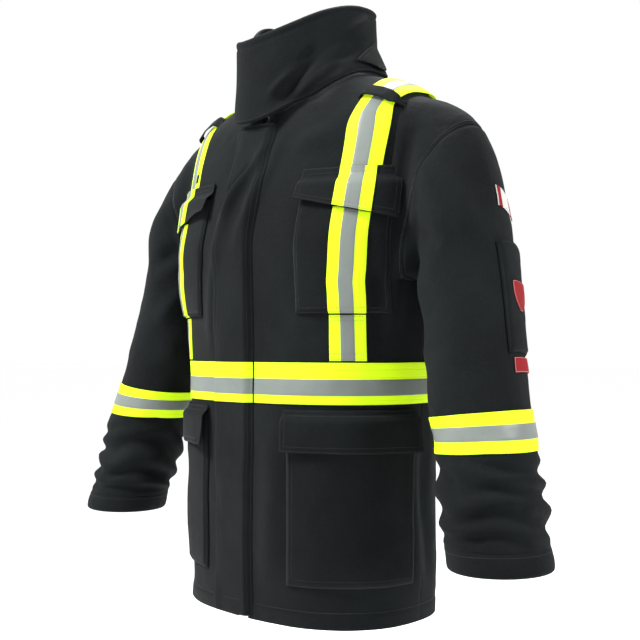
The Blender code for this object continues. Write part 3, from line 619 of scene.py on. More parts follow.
def make_storm_flap():
    arcs = spread(*STORM_ARCS, 0.003)
    heights = spread(*STORM_Z, 0.0045)
    obj, points, normals = patch("storm_flap_cloth", arcs, heights, storm_out, 0.004)
    seam = ((0.022, -0.17, -0.4), (0.008, -0.17, -0.4))
    finish_piece(obj, "shell_fabric", ("storm_flap",), "storm_flap", seam)
    stitch_lines(points, normals, 0.002, "storm_flap", (0.003, 0.0095), (1, 1, 0, 1))
    stitch_lines(points, normals, 0.002, "storm_flap", (0.022,), (0, 0, 1, 0))
    ends = (WAIST_TOP - TAPE, WAIST_TOP)
    out = lambda arc, z: storm_out(arc, z) + 0.0029
    tape = tape_round(
        "storm_flap_tape", spread(STORM_ARCS[0] + 0.001, STORM_ARCS[1] - 0.001, 0.004), ends, out
    )
    finish_piece(tape, "reflective_tape", ("storm_flap_waist_tape",), "storm_flap", seam)


ACROSS = np.array(
    (-0.5, -0.496, -0.488, -0.47, -0.44, -0.4, -0.36, -0.3, -0.25, -0.215, -0.196, -0.188, -0.18)
)
TAPE_ACROSS = np.concatenate((ACROSS, (-0.1, 0.0, 0.1), -ACROSS[::-1]))


def tape_profile(across):
    """Extra height of the silver strip, and of the webbing between its rows of stitches."""
    silver = 0.00045 * smooth((0.196 - np.abs(across)) / 0.012)
    rows = sum(np.exp(-(((np.abs(across) - at) / 0.012) ** 2)) for at in (0.215, 0.36, 0.47))
    return silver - 0.0002 * rows


def tape_cloth(name, points, normals, along, across, finished, closed=False):
    """Trim from rows of points: along and across give each point's place on the tape."""
    points = points + normals * tape_profile(across)[..., None]
    uv = np.stack((along, across * TAPE), -1)
    return cloth(name, points, normals, 0.0014, uv, finished, closed)


def tape_round(name, arcs, ends, out):
    """Trim that runs round the body."""
    arc, across = np.meshgrid(arcs, TAPE_ACROSS)
    z = (ends[0] + ends[1]) / 2 + across * (ends[1] - ends[0])
    points, normals = wrap(arc, z, out(arc, z))
    return tape_cloth(name, points, normals, arc, across, (1, 1, 1, 1))


def tape_up(name, side, heights, out, body="coat", seam=None, nodes=(), slant=None):
    """Trim that runs up the chest on one side."""
    across, z = np.meshgrid(TAPE_ACROSS, heights)
    middle = arc_at(np.interp(z, (WAIST_TOP, CHEST_FLAP[0]), (0.1625, 0.172)), z)
    arc = side * middle + across * TAPE
    if slant:
        z = slant(np.abs(arc), z)
    points, normals = wrap(arc, z, out(np.abs(arc), z))
    obj = tape_cloth(name, points, normals, z, across, (1, 1, 1, 1))
    finish_piece(obj, "reflective_tape", nodes, body, seam)
    for row in (0.0022, 0.0075):
        for low in (True, False):
            at = heights[0] + row if low else heights[-1] - row
            index = int(np.argmin(np.abs(heights - at)))
            stitch(points[index, 2:-2] + normals[index, 2:-2] * 0.0011, normals[index, 2:-2], body)
    return obj


def pocket_out(arcs, heights, depth, bellows):
    """Height of a patch pocket's face: sewn down at both sides and the bottom."""

    def out(arc, z):
        gap = np.minimum(np.minimum(arc - arcs[0], arcs[1] - arc), z - heights[1])
        rise = smooth(gap / bellows)
        middle = smooth((arc - arcs[0]) / 0.05) * smooth((arcs[1] - arc) / 0.05)
        sag = smooth((heights[0] - z) / 0.1) * smooth((z - heights[1]) / 0.06)
        dent = 0.0006 * np.exp(-(((gap - bellows * 1.6) / 0.0016) ** 2))
        return 0.0016 + (depth - 0.0016) * rise * (0.7 + 0.3 * middle * sag) - dent

    return out


def flap_out(arcs, heights, depth, corner, lift):
    """Height of a pocket flap: sewn along its top, and standing away towards a loose corner."""

    def out(arc, z):
        down = np.clip((heights[0] - z) / (heights[0] - heights[1]), 0, 1)
        near = smooth((arcs[0] + 0.055 - arc) / 0.055) if corner else 0
        far = smooth((arc - arcs[1] + 0.05) / 0.05)
        return (
            0.0034
            + (depth + 0.0012) * smooth(down / 0.28)
            + lift * near * down**2
            + 0.0025 * far * down**2
        )

    return out


def mirrored(side, arcs):
    return arcs if side > 0 else -arcs[::-1]


def make_pocket(side, name, kind):
    chest = kind == "chest"
    arcs = CHEST_ARCS if chest else CARGO_ARCS
    heights = CHEST_POCKET if chest else CARGO_POCKET
    flap_z = CHEST_FLAP if chest else CARGO_FLAP
    depth = 0.0072 if chest else 0.0085
    bellows = 0.005 if chest else 0.007
    face = pocket_out(arcs, heights, depth, bellows)
    places = mirrored(side, spread(*arcs, 0.0035, (0.0006, 0.0018, 0.0034)))
    rows = spread(heights[1], heights[0], 0.0042, (0.0006, 0.0018, 0.0034))
    obj, points, normals = patch(
        f"{name}_{kind}_pocket_cloth", places, rows, lambda arc, z: face(np.abs(arc), z), 0.0016
    )
    finish_piece(obj, "shell_fabric", (f"{name}_{kind}_pocket",))
    insets = (0.0025, 0.009) if chest else (0.003, 0.0125)
    stitch_lines(points, normals, 0.0008, "coat", insets, (1, 1, 1, 0))
    near, far = arcs[0] - 0.004, arcs[1] + 0.004
    lift = (0.01 if side > 0 else 0.014) if chest else (0.002 if side > 0 else 0.006)
    top = flap_z[0] + (0.011 if chest else 0.004)
    slope = (0.024, -0.005) if chest else (0.001, -0.001)

    def slant(arc, z):
        share = np.clip((flap_z[0] - z) / (flap_z[0] - flap_z[1]), 0, 1)
        return z + share * np.interp(arc, (near, far), slope)

    over = flap_out((near, far), flap_z, depth, True, lift)
    flap = lambda arc, z: over(np.abs(arc), z)
    places = mirrored(side, spread(near, far, 0.0035))
    rows = spread(flap_z[1], top, 0.003)
    body = f"{name}_{kind}_flap"
    obj, points, normals = patch(
        f"{name}_{kind}_flap_cloth", places, rows, flap, 0.0025, slant=slant
    )
    low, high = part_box(body)
    middle = (low + high) / 2
    seam = ((middle.x, middle.y, flap_z[0]), (middle.x, middle.y, flap_z[0] - 0.012))
    finish_piece(obj, "shell_fabric", (body,), body, seam)
    stitch_lines(points, normals, 0.00125, body, (0.0022, 0.009), (0, 0, 0, 1))
    stitch_lines(points, normals, 0.00125, body, (0.0022, 0.0085), (1, 1, 1, 0))
    if not chest:
        return
    rows = spread(flap_z[1] + 0.001, top - 0.001, 0.004)
    raised = lambda a, z: over(a, z) + 0.0022
    tape_up(f"{name}_flap_trim", side, rows, raised, body, seam, (f"{name}_flap_tape",), slant)
    rows = spread(heights[1], flap_z[1] + 0.012, 0.004)
    tape_up(f"{name}_pocket_trim", side, rows, lambda a, z: face(a, z) + 0.0017, "coat", None, (f"{name}_pocket_tape",))
    rows = spread(WAIST_TOP + 0.002, heights[1] - 0.002, 0.004)
    flat = lambda a, z: np.full(a.shape, 0.0012)
    tape_up(f"{name}_lower_trim", side, rows, flat, "coat", None, (f"{name}_lower_chest_tape",))


def ridge_level(x):
    return np.interp(-x, -SECTIONS[4:, 0], np.arange(4, TOP + 1))


def over_shoulder(x, share):
    """Turn and level over the shoulder: share -1 low on the front, 0 on the ridge, 1 low behind."""
    ridge = ridge_level(x)
    front = float(level_at(math.pi / 3, CHEST_FLAP[0] + 0.002))
    behind = float(level_at(2 * math.pi / 3, WAIST_TOP + 0.002))
    foot = np.where(share < 0, front, behind)
    level = ridge + (foot - ridge) * share**2
    half = np.interp(level, np.arange(TOP + 1), SECTIONS[:, 0])
    square = np.interp(level, np.arange(TOP + 1), SECTIONS[:, 7])
    turn = np.arcsin(np.minimum(1, (x / half) ** (square / 2)))
    return np.where(share < 0, turn, math.pi - turn), level


def flip_to_side(points, normals, side):
    if side > 0:
        return points, normals
    mirror = np.array((-1, 1, 1))
    return (points * mirror)[:, ::-1], (normals * mirror)[:, ::-1]


def eased(rows, passes=14):
    """Rows of points with the corners along the strip rounded, both ends kept."""
    for _ in range(passes):
        middle = (rows[:-2] + 2 * rows[1:-1] + rows[2:]) / 4
        rows = np.concatenate((rows[:1], middle, rows[-1:]))
    return rows


def make_shoulder_trim(side, name):
    shares = np.concatenate((np.linspace(-1, 0, 46)[:-1], np.linspace(0, 1, 110)))
    across, share = np.meshgrid(TAPE_ACROSS, shares)
    x = np.interp(share, (-1, 0, 1), (0.172, 0.181, 0.115)) + across * TAPE
    turn, level = over_shoulder(x, share)
    points, normals = lay(turn, level, 0.0018 + 0.0024 * np.exp(-((share / 0.25) ** 2)))
    points = eased(points)
    along = np.repeat(reach_along(points[:, len(TAPE_ACROSS) // 2])[:, None], across.shape[1], axis=1)
    points, normals = flip_to_side(points, normals, side)
    obj = tape_cloth(f"{name}_shoulder_trim", points, normals, along, across * side, (1, 1, 1, 1))
    finish_piece(obj, "reflective_tape", (f"{name}_shoulder_tape",))
    offsets = spread(-0.0335, 0.0335, 0.003, (0.0006, 0.0015, 0.003))
    wide = np.linspace(-0.5, 0.5, 11)
    offset, along = np.meshgrid(offsets, wide)
    x = np.interp(-0.4, (-1, 0), (0.172, 0.181)) + offset
    turn, level = over_shoulder(x, -0.4 + along * 0.12)
    arch = 0.0016 + 0.0065 * smooth((0.0325 - np.abs(offset)) / 0.007)
    points, normals = lay(turn, level, arch)
    points, normals = flip_to_side(points, normals, side)
    obj = cloth(f"{name}_mike_loop", points, normals, 0.0016, uv_grid(offsets, wide * 0.02))
    finish_piece(obj, "shell_fabric", (f"{name}_shoulder_keeper",))


def make_waist_trim():
    _, lengths, _ = length_tables(WAIST_TOP)
    arcs = spread(STORM_ARCS[1] + 0.001, 2 * lengths[-1] - 0.0105, 0.0045)
    arc, across = np.meshgrid(arcs, TAPE_ACROSS)
    z = WAIST_TOP + (across - 0.5) * TAPE
    around = np.where(arc > lengths[-1], arc - 2 * lengths[-1], arc)
    points, normals = wrap(around, z, np.full(arc.shape, 0.0013))
    obj = tape_cloth("waist_trim", points, normals, arc, across, (1, 1, 1, 1))
    finish_piece(obj, "reflective_tape", ("waist_tape",))


def plain_sleeve(turn, level):
    low = np.clip(level.astype(int), 0, LAST - 1)
    part = (level - low)[..., None]
    mixed = RINGS[low] * (1 - part) + RINGS[low + 1] * part
    outer = mixed[..., (0, 4, 1)]
    inner = mixed[..., (2, 4, 3)]
    depth = np.stack((0 * turn, mixed[..., 5], 0 * turn), -1)
    swing = np.cos(turn)[..., None]
    return (outer + inner) / 2 + (outer - inner) / 2 * swing + depth * np.sin(turn)[..., None]


def armhole_loop():
    """The body's cut edge in the armhole plane, as size against direction, cached on the function."""
    if not hasattr(armhole_loop, "kept"):
        low, high = np.array(4.5), np.array(float(TOP))
        for _ in range(40):
            middle = (low + high) / 2
            if skin(math.pi / 2, middle)[0] > ARMHOLE_X:
                low = middle
            else:
                high = middle
        points = []
        for start, end in ((0.0, math.pi / 2), (math.pi, math.pi / 2)):
            levels = np.linspace(float(level_at(0.9, ARMHOLE_FLOOR + 0.002)), float(low), 90)
            near, far = np.full(90, start), np.full(90, end)
            for _ in range(40):
                middle = (near + far) / 2
                outside = skin(middle, levels)[:, 0] > ARMHOLE_X
                near, far = np.where(outside, near, middle), np.where(outside, middle, far)
            points.append(skin(near, levels))
        front, back = points
        share = np.linspace(0, 1, 20)[1:-1, None]
        floor = front[:1] * (1 - share) + back[:1] * share
        loop = np.concatenate((front, back[::-1], floor[::-1]))
        y, z = (loop[:, 1] + 0.018) / 0.075, (loop[:, 2] + 0.2) / 0.13
        way = np.arctan2(y, z)
        order = np.argsort(way)
        way, size = way[order], np.hypot(y, z)[order]
        armhole_loop.kept = (
            np.concatenate((way - 2 * math.pi, way, way + 2 * math.pi)),
            np.tile(size, 3),
        )
    return armhole_loop.kept


def sleeve_root(turn):
    way, size = armhole_loop()
    direction = np.arctan2(np.sin(turn), np.cos(turn))
    reach = np.interp(direction, way, size)
    y = -0.018 + 0.075 * reach * np.sin(turn)
    return np.stack((np.full(turn.shape, ARMHOLE_X), y, -0.2 + 0.13 * reach * np.cos(turn)), -1)


def sleeve_base(turn, level):
    """Points on the left sleeve's smooth face: turn 0 is its outer side, a quarter turn its back."""
    turn, level = np.broadcast_arrays(np.asarray(turn, float), np.asarray(level, float))
    level = np.clip(level, 0, LAST)
    reach = np.minimum(0.5, np.minimum(level, LAST - level))
    total = 0
    for share, weight in ((-1, 0.15), (-0.5, 0.22), (0, 0.26), (0.5, 0.22), (1, 0.15)):
        total = total + weight * plain_sleeve(turn, level + share * reach)
    root = sleeve_root(turn) - plain_sleeve(turn, np.zeros(turn.shape))
    return total + (1 - smooth(level / 1.6))[..., None] * root


def middle_lengths():
    middles = (RINGS[:, (0, 4, 1)] + RINGS[:, (2, 4, 3)]) / 2
    lengths = reach_along(middles[::-1])
    return lengths


def sleeve_level(length_from_cuff):
    return LAST - np.interp(length_from_cuff, middle_lengths(), np.arange(LAST + 1))


def cuff_length(level):
    return np.interp(LAST - level, np.arange(LAST + 1), middle_lengths())


def shoulder_seam(turn):
    return 0.6 + 1.3 * ((1 + np.cos(turn)) / 2) ** 1.6


# Folds of a sleeve: turn and level at each end, width, depth
SLEEVE_CREASES = (
    ((-0.75, 0.5), (-2.3, 0.42), 0.015, -0.009),
    ((0.9, 0.5), (2.3, 0.42), 0.015, -0.006),
    ((-2.0, 0.9), (-1.3, 3.4), 0.016, -0.005),
    ((-1.25, 1.0), (-0.7, 3.6), 0.022, 0.005),
    ((-2.4, 1.6), (-1.9, 4.2), 0.014, 0.004),
    ((-0.5, 1.4), (-0.35, 3.5), 0.02, -0.0025),
    ((2.2, 1.0), (1.5, 3.4), 0.018, -0.004),
    ((-2.9, 4.4), (-1.3, 4.9), 0.01, -0.0045),
    ((-2.6, 4.8), (-1.0, 4.6), 0.012, 0.003),
    ((2.9, 4.4), (1.5, 4.8), 0.012, -0.0035),
    ((-2.7, 6.15), (-1.35, 6.5), 0.009, -0.006),
    ((-2.3, 6.5), (-0.75, 6.3), 0.01, 0.005),
    ((-1.9, 6.75), (-0.3, 7.25), 0.009, -0.0065),
    ((-1.2, 6.45), (0.2, 6.75), 0.011, 0.0045),
    ((-2.9, 7.0), (-1.4, 7.5), 0.01, 0.005),
    ((-1.35, 7.55), (0.1, 7.35), 0.008, -0.005),
    ((-2.5, 7.45), (-1.2, 7.85), 0.008, -0.005),
    ((0.6, 6.5), (2.4, 6.9), 0.011, -0.005),
    ((0.4, 7.2), (1.9, 7.5), 0.01, 0.004),
    ((1.6, 7.1), (3.0, 6.6), 0.01, 0.004),
)


def sleeve_folds(base, turn, level):
    """How far a sleeve's cloth stands out of its smooth shape."""
    length = cuff_length(level)
    folds = 0.0018 * swell(base, 0.1, 11) + 0.0008 * swell(base, 0.04, 12)
    folds = folds + 0.0003 * swell(base, 0.016, 14)
    low = smooth((length - 0.025) / 0.03) * smooth((0.155 - length) / 0.03)
    wave = length / 0.036 + 0.55 * np.sin(turn + 0.7) + 0.6 * swell(base, 0.07, 13)
    folds = folds + low * 0.0022 * np.sin(2 * math.pi * wave)
    for first, second, width, depth in SLEEVE_CREASES:
        start = sleeve_base(np.array(first[0]), np.array(first[1]))
        end = sleeve_base(np.array(second[0]), np.array(second[1]))
        along = end - start
        share = ((base - start) @ along) / (along @ along)
        nearest = start + np.clip(share, 0, 1)[..., None] * along
        distance = np.linalg.norm(base - nearest, axis=-1)
        taper = np.sin(math.pi * np.clip(share, 0.02, 0.98)) ** 0.7
        bend = np.exp(-(((np.arctan2(np.sin(turn - first[0]), np.cos(turn - first[0]))) / 2.4) ** 4))
        folds = folds + depth * taper * bend * np.exp(-((distance / width) ** 2))
    seam = np.exp(-(((level - shoulder_seam(turn)) / 0.05) ** 2))
    folds = folds * smooth(level / 0.35) * (0.35 + 0.65 * smooth((LAST - 0.1 - level) / 0.8))
    return (folds - 0.0012 * seam) * coat_settings().wrinkles


def sleeve_lay(turn, level, out, side=1):
    base = sleeve_base(turn, level)
    turn, level = np.broadcast_arrays(np.asarray(turn, float), np.asarray(level, float))
    normal = normals_of(sleeve_base, turn, level, LAST, -1)
    out = np.asarray(out) + sleeve_folds(base, turn, level)
    points = base + normal * out[..., None]
    if side < 0:
        mirror = np.array((-1, 1, 1))
        return (points * mirror)[:, ::-1], (normal * mirror)[:, ::-1]
    return points, normal


def sleeve_seam_ends(side):
    return ((side * 0.206, 0, -0.2), (side * 0.262, 0, -0.2))


def sleeve_cloth(name, side, levels, out, thickness, columns, finished, inside=None):
    turns = np.linspace(0, 2 * math.pi, columns, endpoint=False)
    turn, level = np.meshgrid(turns, levels)
    points, normals = sleeve_lay(turn, level, out(turn, level), side)
    around = turn * 0.075
    uv = np.stack((around, -cuff_length(level)), -1)
    depth = quilt_depth(uv) if inside else 0
    return cloth(name, points, normals, thickness, uv, finished, True, depth), points, normals


def make_sleeve(side, name):
    fine = 0.0046
    columns = 124
    body = f"{name}_sleeve"
    seam = sleeve_seam_ends(side)
    top = np.linspace(0, 2.1, 52)
    lengths = np.arange(float(cuff_length(2.1)), 0.018, -fine)
    levels = np.concatenate((top, sleeve_level(lengths[1:])))
    flat = lambda turn, level: np.full(turn.shape, -0.0015)
    obj, points, normals = sleeve_cloth(
        f"{name}_sleeve_cloth", side, levels, flat, 0.003, columns, (0, 0, 0, 0)
    )
    finish_piece(obj, "shell_fabric", (body,), body, seam)
    turns = np.linspace(-math.pi, math.pi, 180)[None, :]
    for offset in (0.05, 0.11):
        line, way = sleeve_lay(turns, shoulder_seam(turns) - offset, np.full(turns.shape, 0.0002), side)
        stitch(line[0], way[0], body)
    levels = np.concatenate((np.linspace(0.6, 8.9, 110), (8.93, 8.96)))
    sunk = lambda turn, level: np.full(turn.shape, -0.008)
    obj, _, _ = sleeve_cloth(f"{name}_sleeve_quilting", side, levels, sunk, 0.006, 90, (0, 0, 0, 0), True)
    finish_piece(obj, "quilted_lining", (f"{name}_sleeve_lining",), body, seam)
    lengths = np.concatenate((np.linspace(0.0255, 0.003, 14), (0.0018, 0.0008, 0.0002, 0)))
    puff = lambda turn, level: -0.0028 + 0.0012 * np.sin(math.pi * np.clip(cuff_length(level) / 0.024, 0, 1))
    obj, points, normals = sleeve_cloth(
        f"{name}_cuff_cloth", side, sleeve_level(lengths), puff, 0.0062, columns, (0, 0, 1, 1)
    )
    finish_piece(obj, "shell_fabric", (f"{name}_cuff",), body)
    index = 3
    ring = np.concatenate((points[index], points[index][:1]))
    way = np.concatenate((normals[index], normals[index][:1]))
    stitch(ring + way * 0.0031, way, body)
    low = 0.15 if side > 0 else 0.17
    place = low + (0.5 + TAPE_ACROSS) * TAPE
    turns = np.linspace(0, 2 * math.pi, 140, endpoint=False)
    turn, length = np.meshgrid(turns, place[::-1])
    points, normals = sleeve_lay(turn, sleeve_level(length), np.full(turn.shape, 0.0013), side)
    across = (length - low) / TAPE - 0.5
    points = points + normals * tape_profile(across)[..., None]
    uv = np.stack((turn * 0.075, across * TAPE), -1)
    obj = cloth(f"{name}_sleeve_trim", points, normals, 0.0014, uv, (0, 0, 1, 1), True)
    finish_piece(obj, "reflective_tape", (f"{name}_sleeve_tape",), body)


PATCH_TURN = math.radians(20)


def arm_sheet(name, half_width, top, bottom, out, thickness, slot, node, narrow=None, step=0.003, aside=0.0):
    """A piece on the left sleeve's outer side: out is a function of place across and height."""
    heights = spread(bottom, top, step)
    across, z = np.meshgrid(spread(-half_width, half_width, step), heights)
    level = np.interp(-z, -RINGS[:, 1], np.arange(LAST + 1))
    radius = np.interp(level, np.arange(LAST + 1), RINGS[:, 5])
    share = 1 if narrow is None else narrow((z - bottom) / (top - bottom))
    points, normals = sleeve_lay(PATCH_TURN + (across * share + aside) / radius, level, out(across, z))
    points, normals = points[::-1], normals[::-1]
    uv = np.stack((across / half_width, (z - bottom) / (top - bottom)), -1)[::-1]
    obj = cloth(name, points, normals, thickness, uv)
    finish_piece(obj, slot, (node,), "left_sleeve")
    return points, normals


def make_arm_trim():
    def pocket(across, z):
        gap = np.minimum(0.043 - np.abs(across), z + 0.438)
        return 0.0016 + 0.0042 * smooth(gap / 0.006) * (1 - 0.25 * smooth((-0.29 - z) / 0.12))

    points, normals = arm_sheet(
        "arm_pocket_cloth", 0.043, -0.288, -0.438, pocket, 0.0016, "shell_fabric", "arm_pocket"
    )
    stitch_lines(points, normals, 0.0008, "left_sleeve", (0.003,), (1, 1, 1, 1))
    flat = lambda across, z: np.full(across.shape, 0.0014)
    points, normals = arm_sheet(
        "striped_patch", 0.026, -0.211, -0.241, flat, 0.0014, "patch_cloth", "striped_arm_patch"
    )
    stitch_lines(points, normals, 0.0007, "left_sleeve", (0.0016,))
    raised = lambda across, z: pocket(across, z) + 0.0019
    outline = lambda share: np.interp(share, (0, 0.12, 0.35, 0.6, 0.9, 1), (0.12, 0.45, 0.82, 0.98, 1, 0.96))
    arm_sheet("plain_badge", 0.018, -0.344, -0.384, raised, 0.0014, "red_label", "shield_badge", outline, 0.0015, -0.01)
    points, normals = arm_sheet("red_tag", 0.033, -0.4435, -0.462, flat, 0.0014, "red_label", "red_arm_label")
    stitch_lines(points, normals, 0.0007, "left_sleeve", (0.0016,), (1, 1, 0, 1))


def collar_step(turn):
    return smooth((math.radians(50) - turn) / math.radians(74))


def collar_peak(turn):
    """How much higher the collar's top stands than its plain height, all round."""
    turns = np.radians((-24, -6, 12, 24, 42, 72, 100, 180, 250, 348))
    heights = (0.015, 0.022, 0.0205, 0.0155, 0.0025, -0.007, 0, 0, -0.006, -0.006)
    steps = np.radians((-12, -6, 0, 6, 12))
    return sum(np.interp(turn + step, turns, heights) for step in steps) / len(steps)


def collar_base(turn, up):
    """Points on the collar's middle face: turn from the centre front, up from 0 at the seam to 1."""
    turn, up = np.broadcast_arrays(np.asarray(turn, float), np.asarray(up, float))
    step = collar_step(turn)
    height = 0.09 + 0.008 * (1 + np.cos(turn)) + collar_peak(turn)
    seam = plain_skin(turn, np.full(turn.shape, float(TOP)))
    ahead = plain_skin(turn + 0.026, np.full(turn.shape, float(TOP))) - plain_skin(
        turn - 0.026, np.full(turn.shape, float(TOP))
    )
    outward = np.stack((ahead[..., 1], -ahead[..., 0], 0 * turn), -1)
    outward /= np.linalg.norm(outward, axis=-1, keepdims=True)
    away = 0.003 + 0.028 * step - 0.006 * up
    rise = 0.006 - 0.026 * step + height * up
    points = seam + outward * away[..., None] + np.stack((0 * turn, 0 * turn, rise), -1)
    lowest = seam + outward * (0.003 + 0.028 * step)[..., None]
    lowest = lowest + np.stack((0 * turn, 0 * turn, 0.006 - 0.026 * step), -1)
    foot = skin(turn, np.full(turn.shape, TOP - 0.36)) + np.array((0, 0, 0.004))
    sewn = smooth((turn - math.radians(14)) / 0.45) * smooth((math.radians(346) - turn) / 0.45)
    spread_out = sewn * (1 - smooth(up / 0.45))
    return points + (foot - lowest) * spread_out[..., None]


# Folds of the collar: turn in degrees and height share at each end, width, depth
COLLAR_CREASES = (
    ((14, 0.1), (46, 0.36), 0.007, -0.0035),
    ((8, 0.22), (38, 0.46), 0.006, 0.0032),
    ((26, 0.06), (66, 0.2), 0.006, 0.0035),
    ((20, 0.34), (44, 0.5), 0.006, -0.0025),
    ((50, 0.1), (84, 0.42), 0.008, -0.003),
    ((70, 0.5), (98, 0.86), 0.01, 0.003),
    ((120, 0.1), (150, 0.5), 0.012, -0.002),
    ((200, 0.2), (235, 0.6), 0.012, 0.002),
    ((290, 0.2), (320, 0.5), 0.01, -0.002),
)


def collar_lay(turn, up, out):
    base = collar_base(turn, up)
    turn, up = np.broadcast_arrays(np.asarray(turn, float), np.asarray(up, float))
    around = collar_base(turn + 0.02, up) - collar_base(turn - 0.02, up)
    rise = collar_base(turn, up + 0.05) - collar_base(turn, up - 0.05)
    normal = np.cross(around, rise)
    normal /= np.linalg.norm(normal, axis=-1, keepdims=True)
    folds = 0.0014 * swell(base, 0.06, 21) + 0.0005 * swell(base, 0.025, 22)
    for first, second, width, depth in COLLAR_CREASES:
        start = collar_base(np.array(math.radians(first[0])), np.array(first[1]))
        end = collar_base(np.array(math.radians(second[0])), np.array(second[1]))
        along = end - start
        share = ((base - start) @ along) / (along @ along)
        nearest = start + np.clip(share, 0, 1)[..., None] * along
        distance = np.linalg.norm(base - nearest, axis=-1)
        taper = np.sin(math.pi * np.clip(share, 0.02, 0.98)) ** 0.7
        folds = folds + 1.3 * depth * taper * np.exp(-((distance / width) ** 2))
    folds = folds * coat_settings().wrinkles * smooth(up / 0.1 + 0.2)
    return base + normal * (np.asarray(out) + folds)[..., None], normal


def make_collar():
    columns = 210
    first, last = -math.radians(24), 2 * math.pi - math.radians(12)
    rim = np.array((0, 0.0015, 0.004, 0.009, 0.016)) * 1.6
    turns = np.concatenate((first + rim, np.linspace(first, last, columns)[3:-3], last - rim[::-1]))
    ups = np.concatenate(((0, 0.006, 0.016, 0.03), np.linspace(0.05, 0.95, 34), (0.97, 0.984, 0.994, 1)))
    turn, up = np.meshgrid(turns, ups)
    binding = 0.0009 * np.exp(-((((1 - up) * 0.1 - 0.005) / 0.003) ** 2))
    edge = (turn - first) * 0.1
    binding = binding + 0.0008 * np.exp(-(((edge - 0.005) / 0.003) ** 2))
    groove = 0.0009 * np.exp(-((((1 - up) * 0.1 - 0.0105) / 0.0014) ** 2))
    groove = groove + 0.0009 * np.exp(-(((edge - 0.0105) / 0.0014) ** 2))
    points, normals = collar_lay(turn, up, binding - groove)
    uv = np.stack((turn * 0.09, up * 0.1), -1)
    obj = cloth("collar_cloth", points, normals, 0.0072, uv)
    finish_piece(obj, "shell_fabric", ("collar",))
    stitch_lines(points, normals, 0.0034, "coat", (0.0105,), (1, 0, 0, 1))
    stitch_lines(points, normals, 0.0034, "coat", (0.003,), (1, 0, 1, 0))
    along, rise = np.meshgrid(np.linspace(0, 1, 26), np.linspace(0, 1, 24))
    turn = np.radians((1 - along) * (93 - 21 * rise) + along * (111 - 6 * rise))
    up = (1 - along) * (0.04 + 0.09 * rise) + along * (0.08 + 0.38 * rise)
    loose = 1 - smooth(along / 0.8)
    points, normals = collar_lay(turn, up, 0.0055 + 0.003 * loose)
    obj = cloth("throat_tab_cloth", points, normals, 0.0026, np.stack((turn * 0.09, up * 0.1), -1))
    finish_piece(obj, "shell_fabric", ("throat_tab",), "throat_tab")
    stitch_lines(points, normals, 0.0013, "throat_tab", (0.002, 0.0075))
    turns = np.radians(np.linspace(164, 196, 34))
    ups = np.linspace(0.05, 0.13, 7)
    turn, up = np.meshgrid(turns, ups)
    bow = smooth((math.radians(16) - np.abs(turn - math.pi)) / math.radians(7))
    points, normals = collar_lay(turn, up, -0.0052 - 0.0088 * bow)
    obj = cloth("hang_strap", points, normals, 0.0016, np.stack((turn * 0.09, up * 0.1), -1))
    finish_piece(obj, "zip_tape", ("hang_loop",))


def blocks(name, middles, along, across, out, size):
    """Small blocks in one mesh, each with its own directions."""
    corners = np.array(list(itertools.product((-1, 1), repeat=3))) / 2
    faces = np.array(((0, 1, 3, 2), (4, 6, 7, 5), (0, 4, 5, 1), (2, 3, 7, 6), (0, 2, 6, 4), (1, 5, 7, 3)))
    points = middles[:, None] + (
        corners[None, :, :1] * across[:, None] * size[0]
        + corners[None, :, 1:2] * out[:, None] * size[1]
        + corners[None, :, 2:] * along[:, None] * size[2]
    )
    index = np.arange(len(middles))[:, None, None] * 8 + faces[None]
    mesh = bpy.data.meshes.new(name)
    mesh.from_pydata(points.reshape(-1, 3).tolist(), [], index.reshape(-1, 4).tolist())
    mesh.update()
    obj = bpy.data.objects.new(name, mesh)
    bpy.context.scene.collection.objects.link(obj)
    bevel = obj.modifiers.new("edges", "BEVEL")
    bevel.width = min(size) / 5
    return obj


def make_zip():
    for side, name in ((1, "left"), (-1, "right")):
        arcs = mirrored(side, spread(0.0022, 0.0092, 0.001, (0.0003, 0.0006)))
        heights = spread(-0.805, -0.105, 0.006)
        out = lambda arc, z: np.full(arc.shape, -0.0012)
        obj, points, normals = patch(f"{name}_zip_ribbon", arcs, heights, out, 0.0018)
        finish_piece(obj, "zip_tape", (f"{name}_zip_tape",))
        z = np.arange(-0.803, -0.106, 0.0026) + (0.0013 if side > 0 else 0)
        line, way = wrap(np.full(z.shape, side * 0.0012), z, np.full(z.shape, -0.0008))
        ahead = np.gradient(line, axis=0)
        ahead /= np.linalg.norm(ahead, axis=1, keepdims=True)
        across = np.cross(ahead, way)
        teeth = blocks(f"{name}_zip_teeth", line, ahead, across, way, (0.0034, 0.0016, 0.0014))
        finish_piece(teeth, "zip_metal", ())


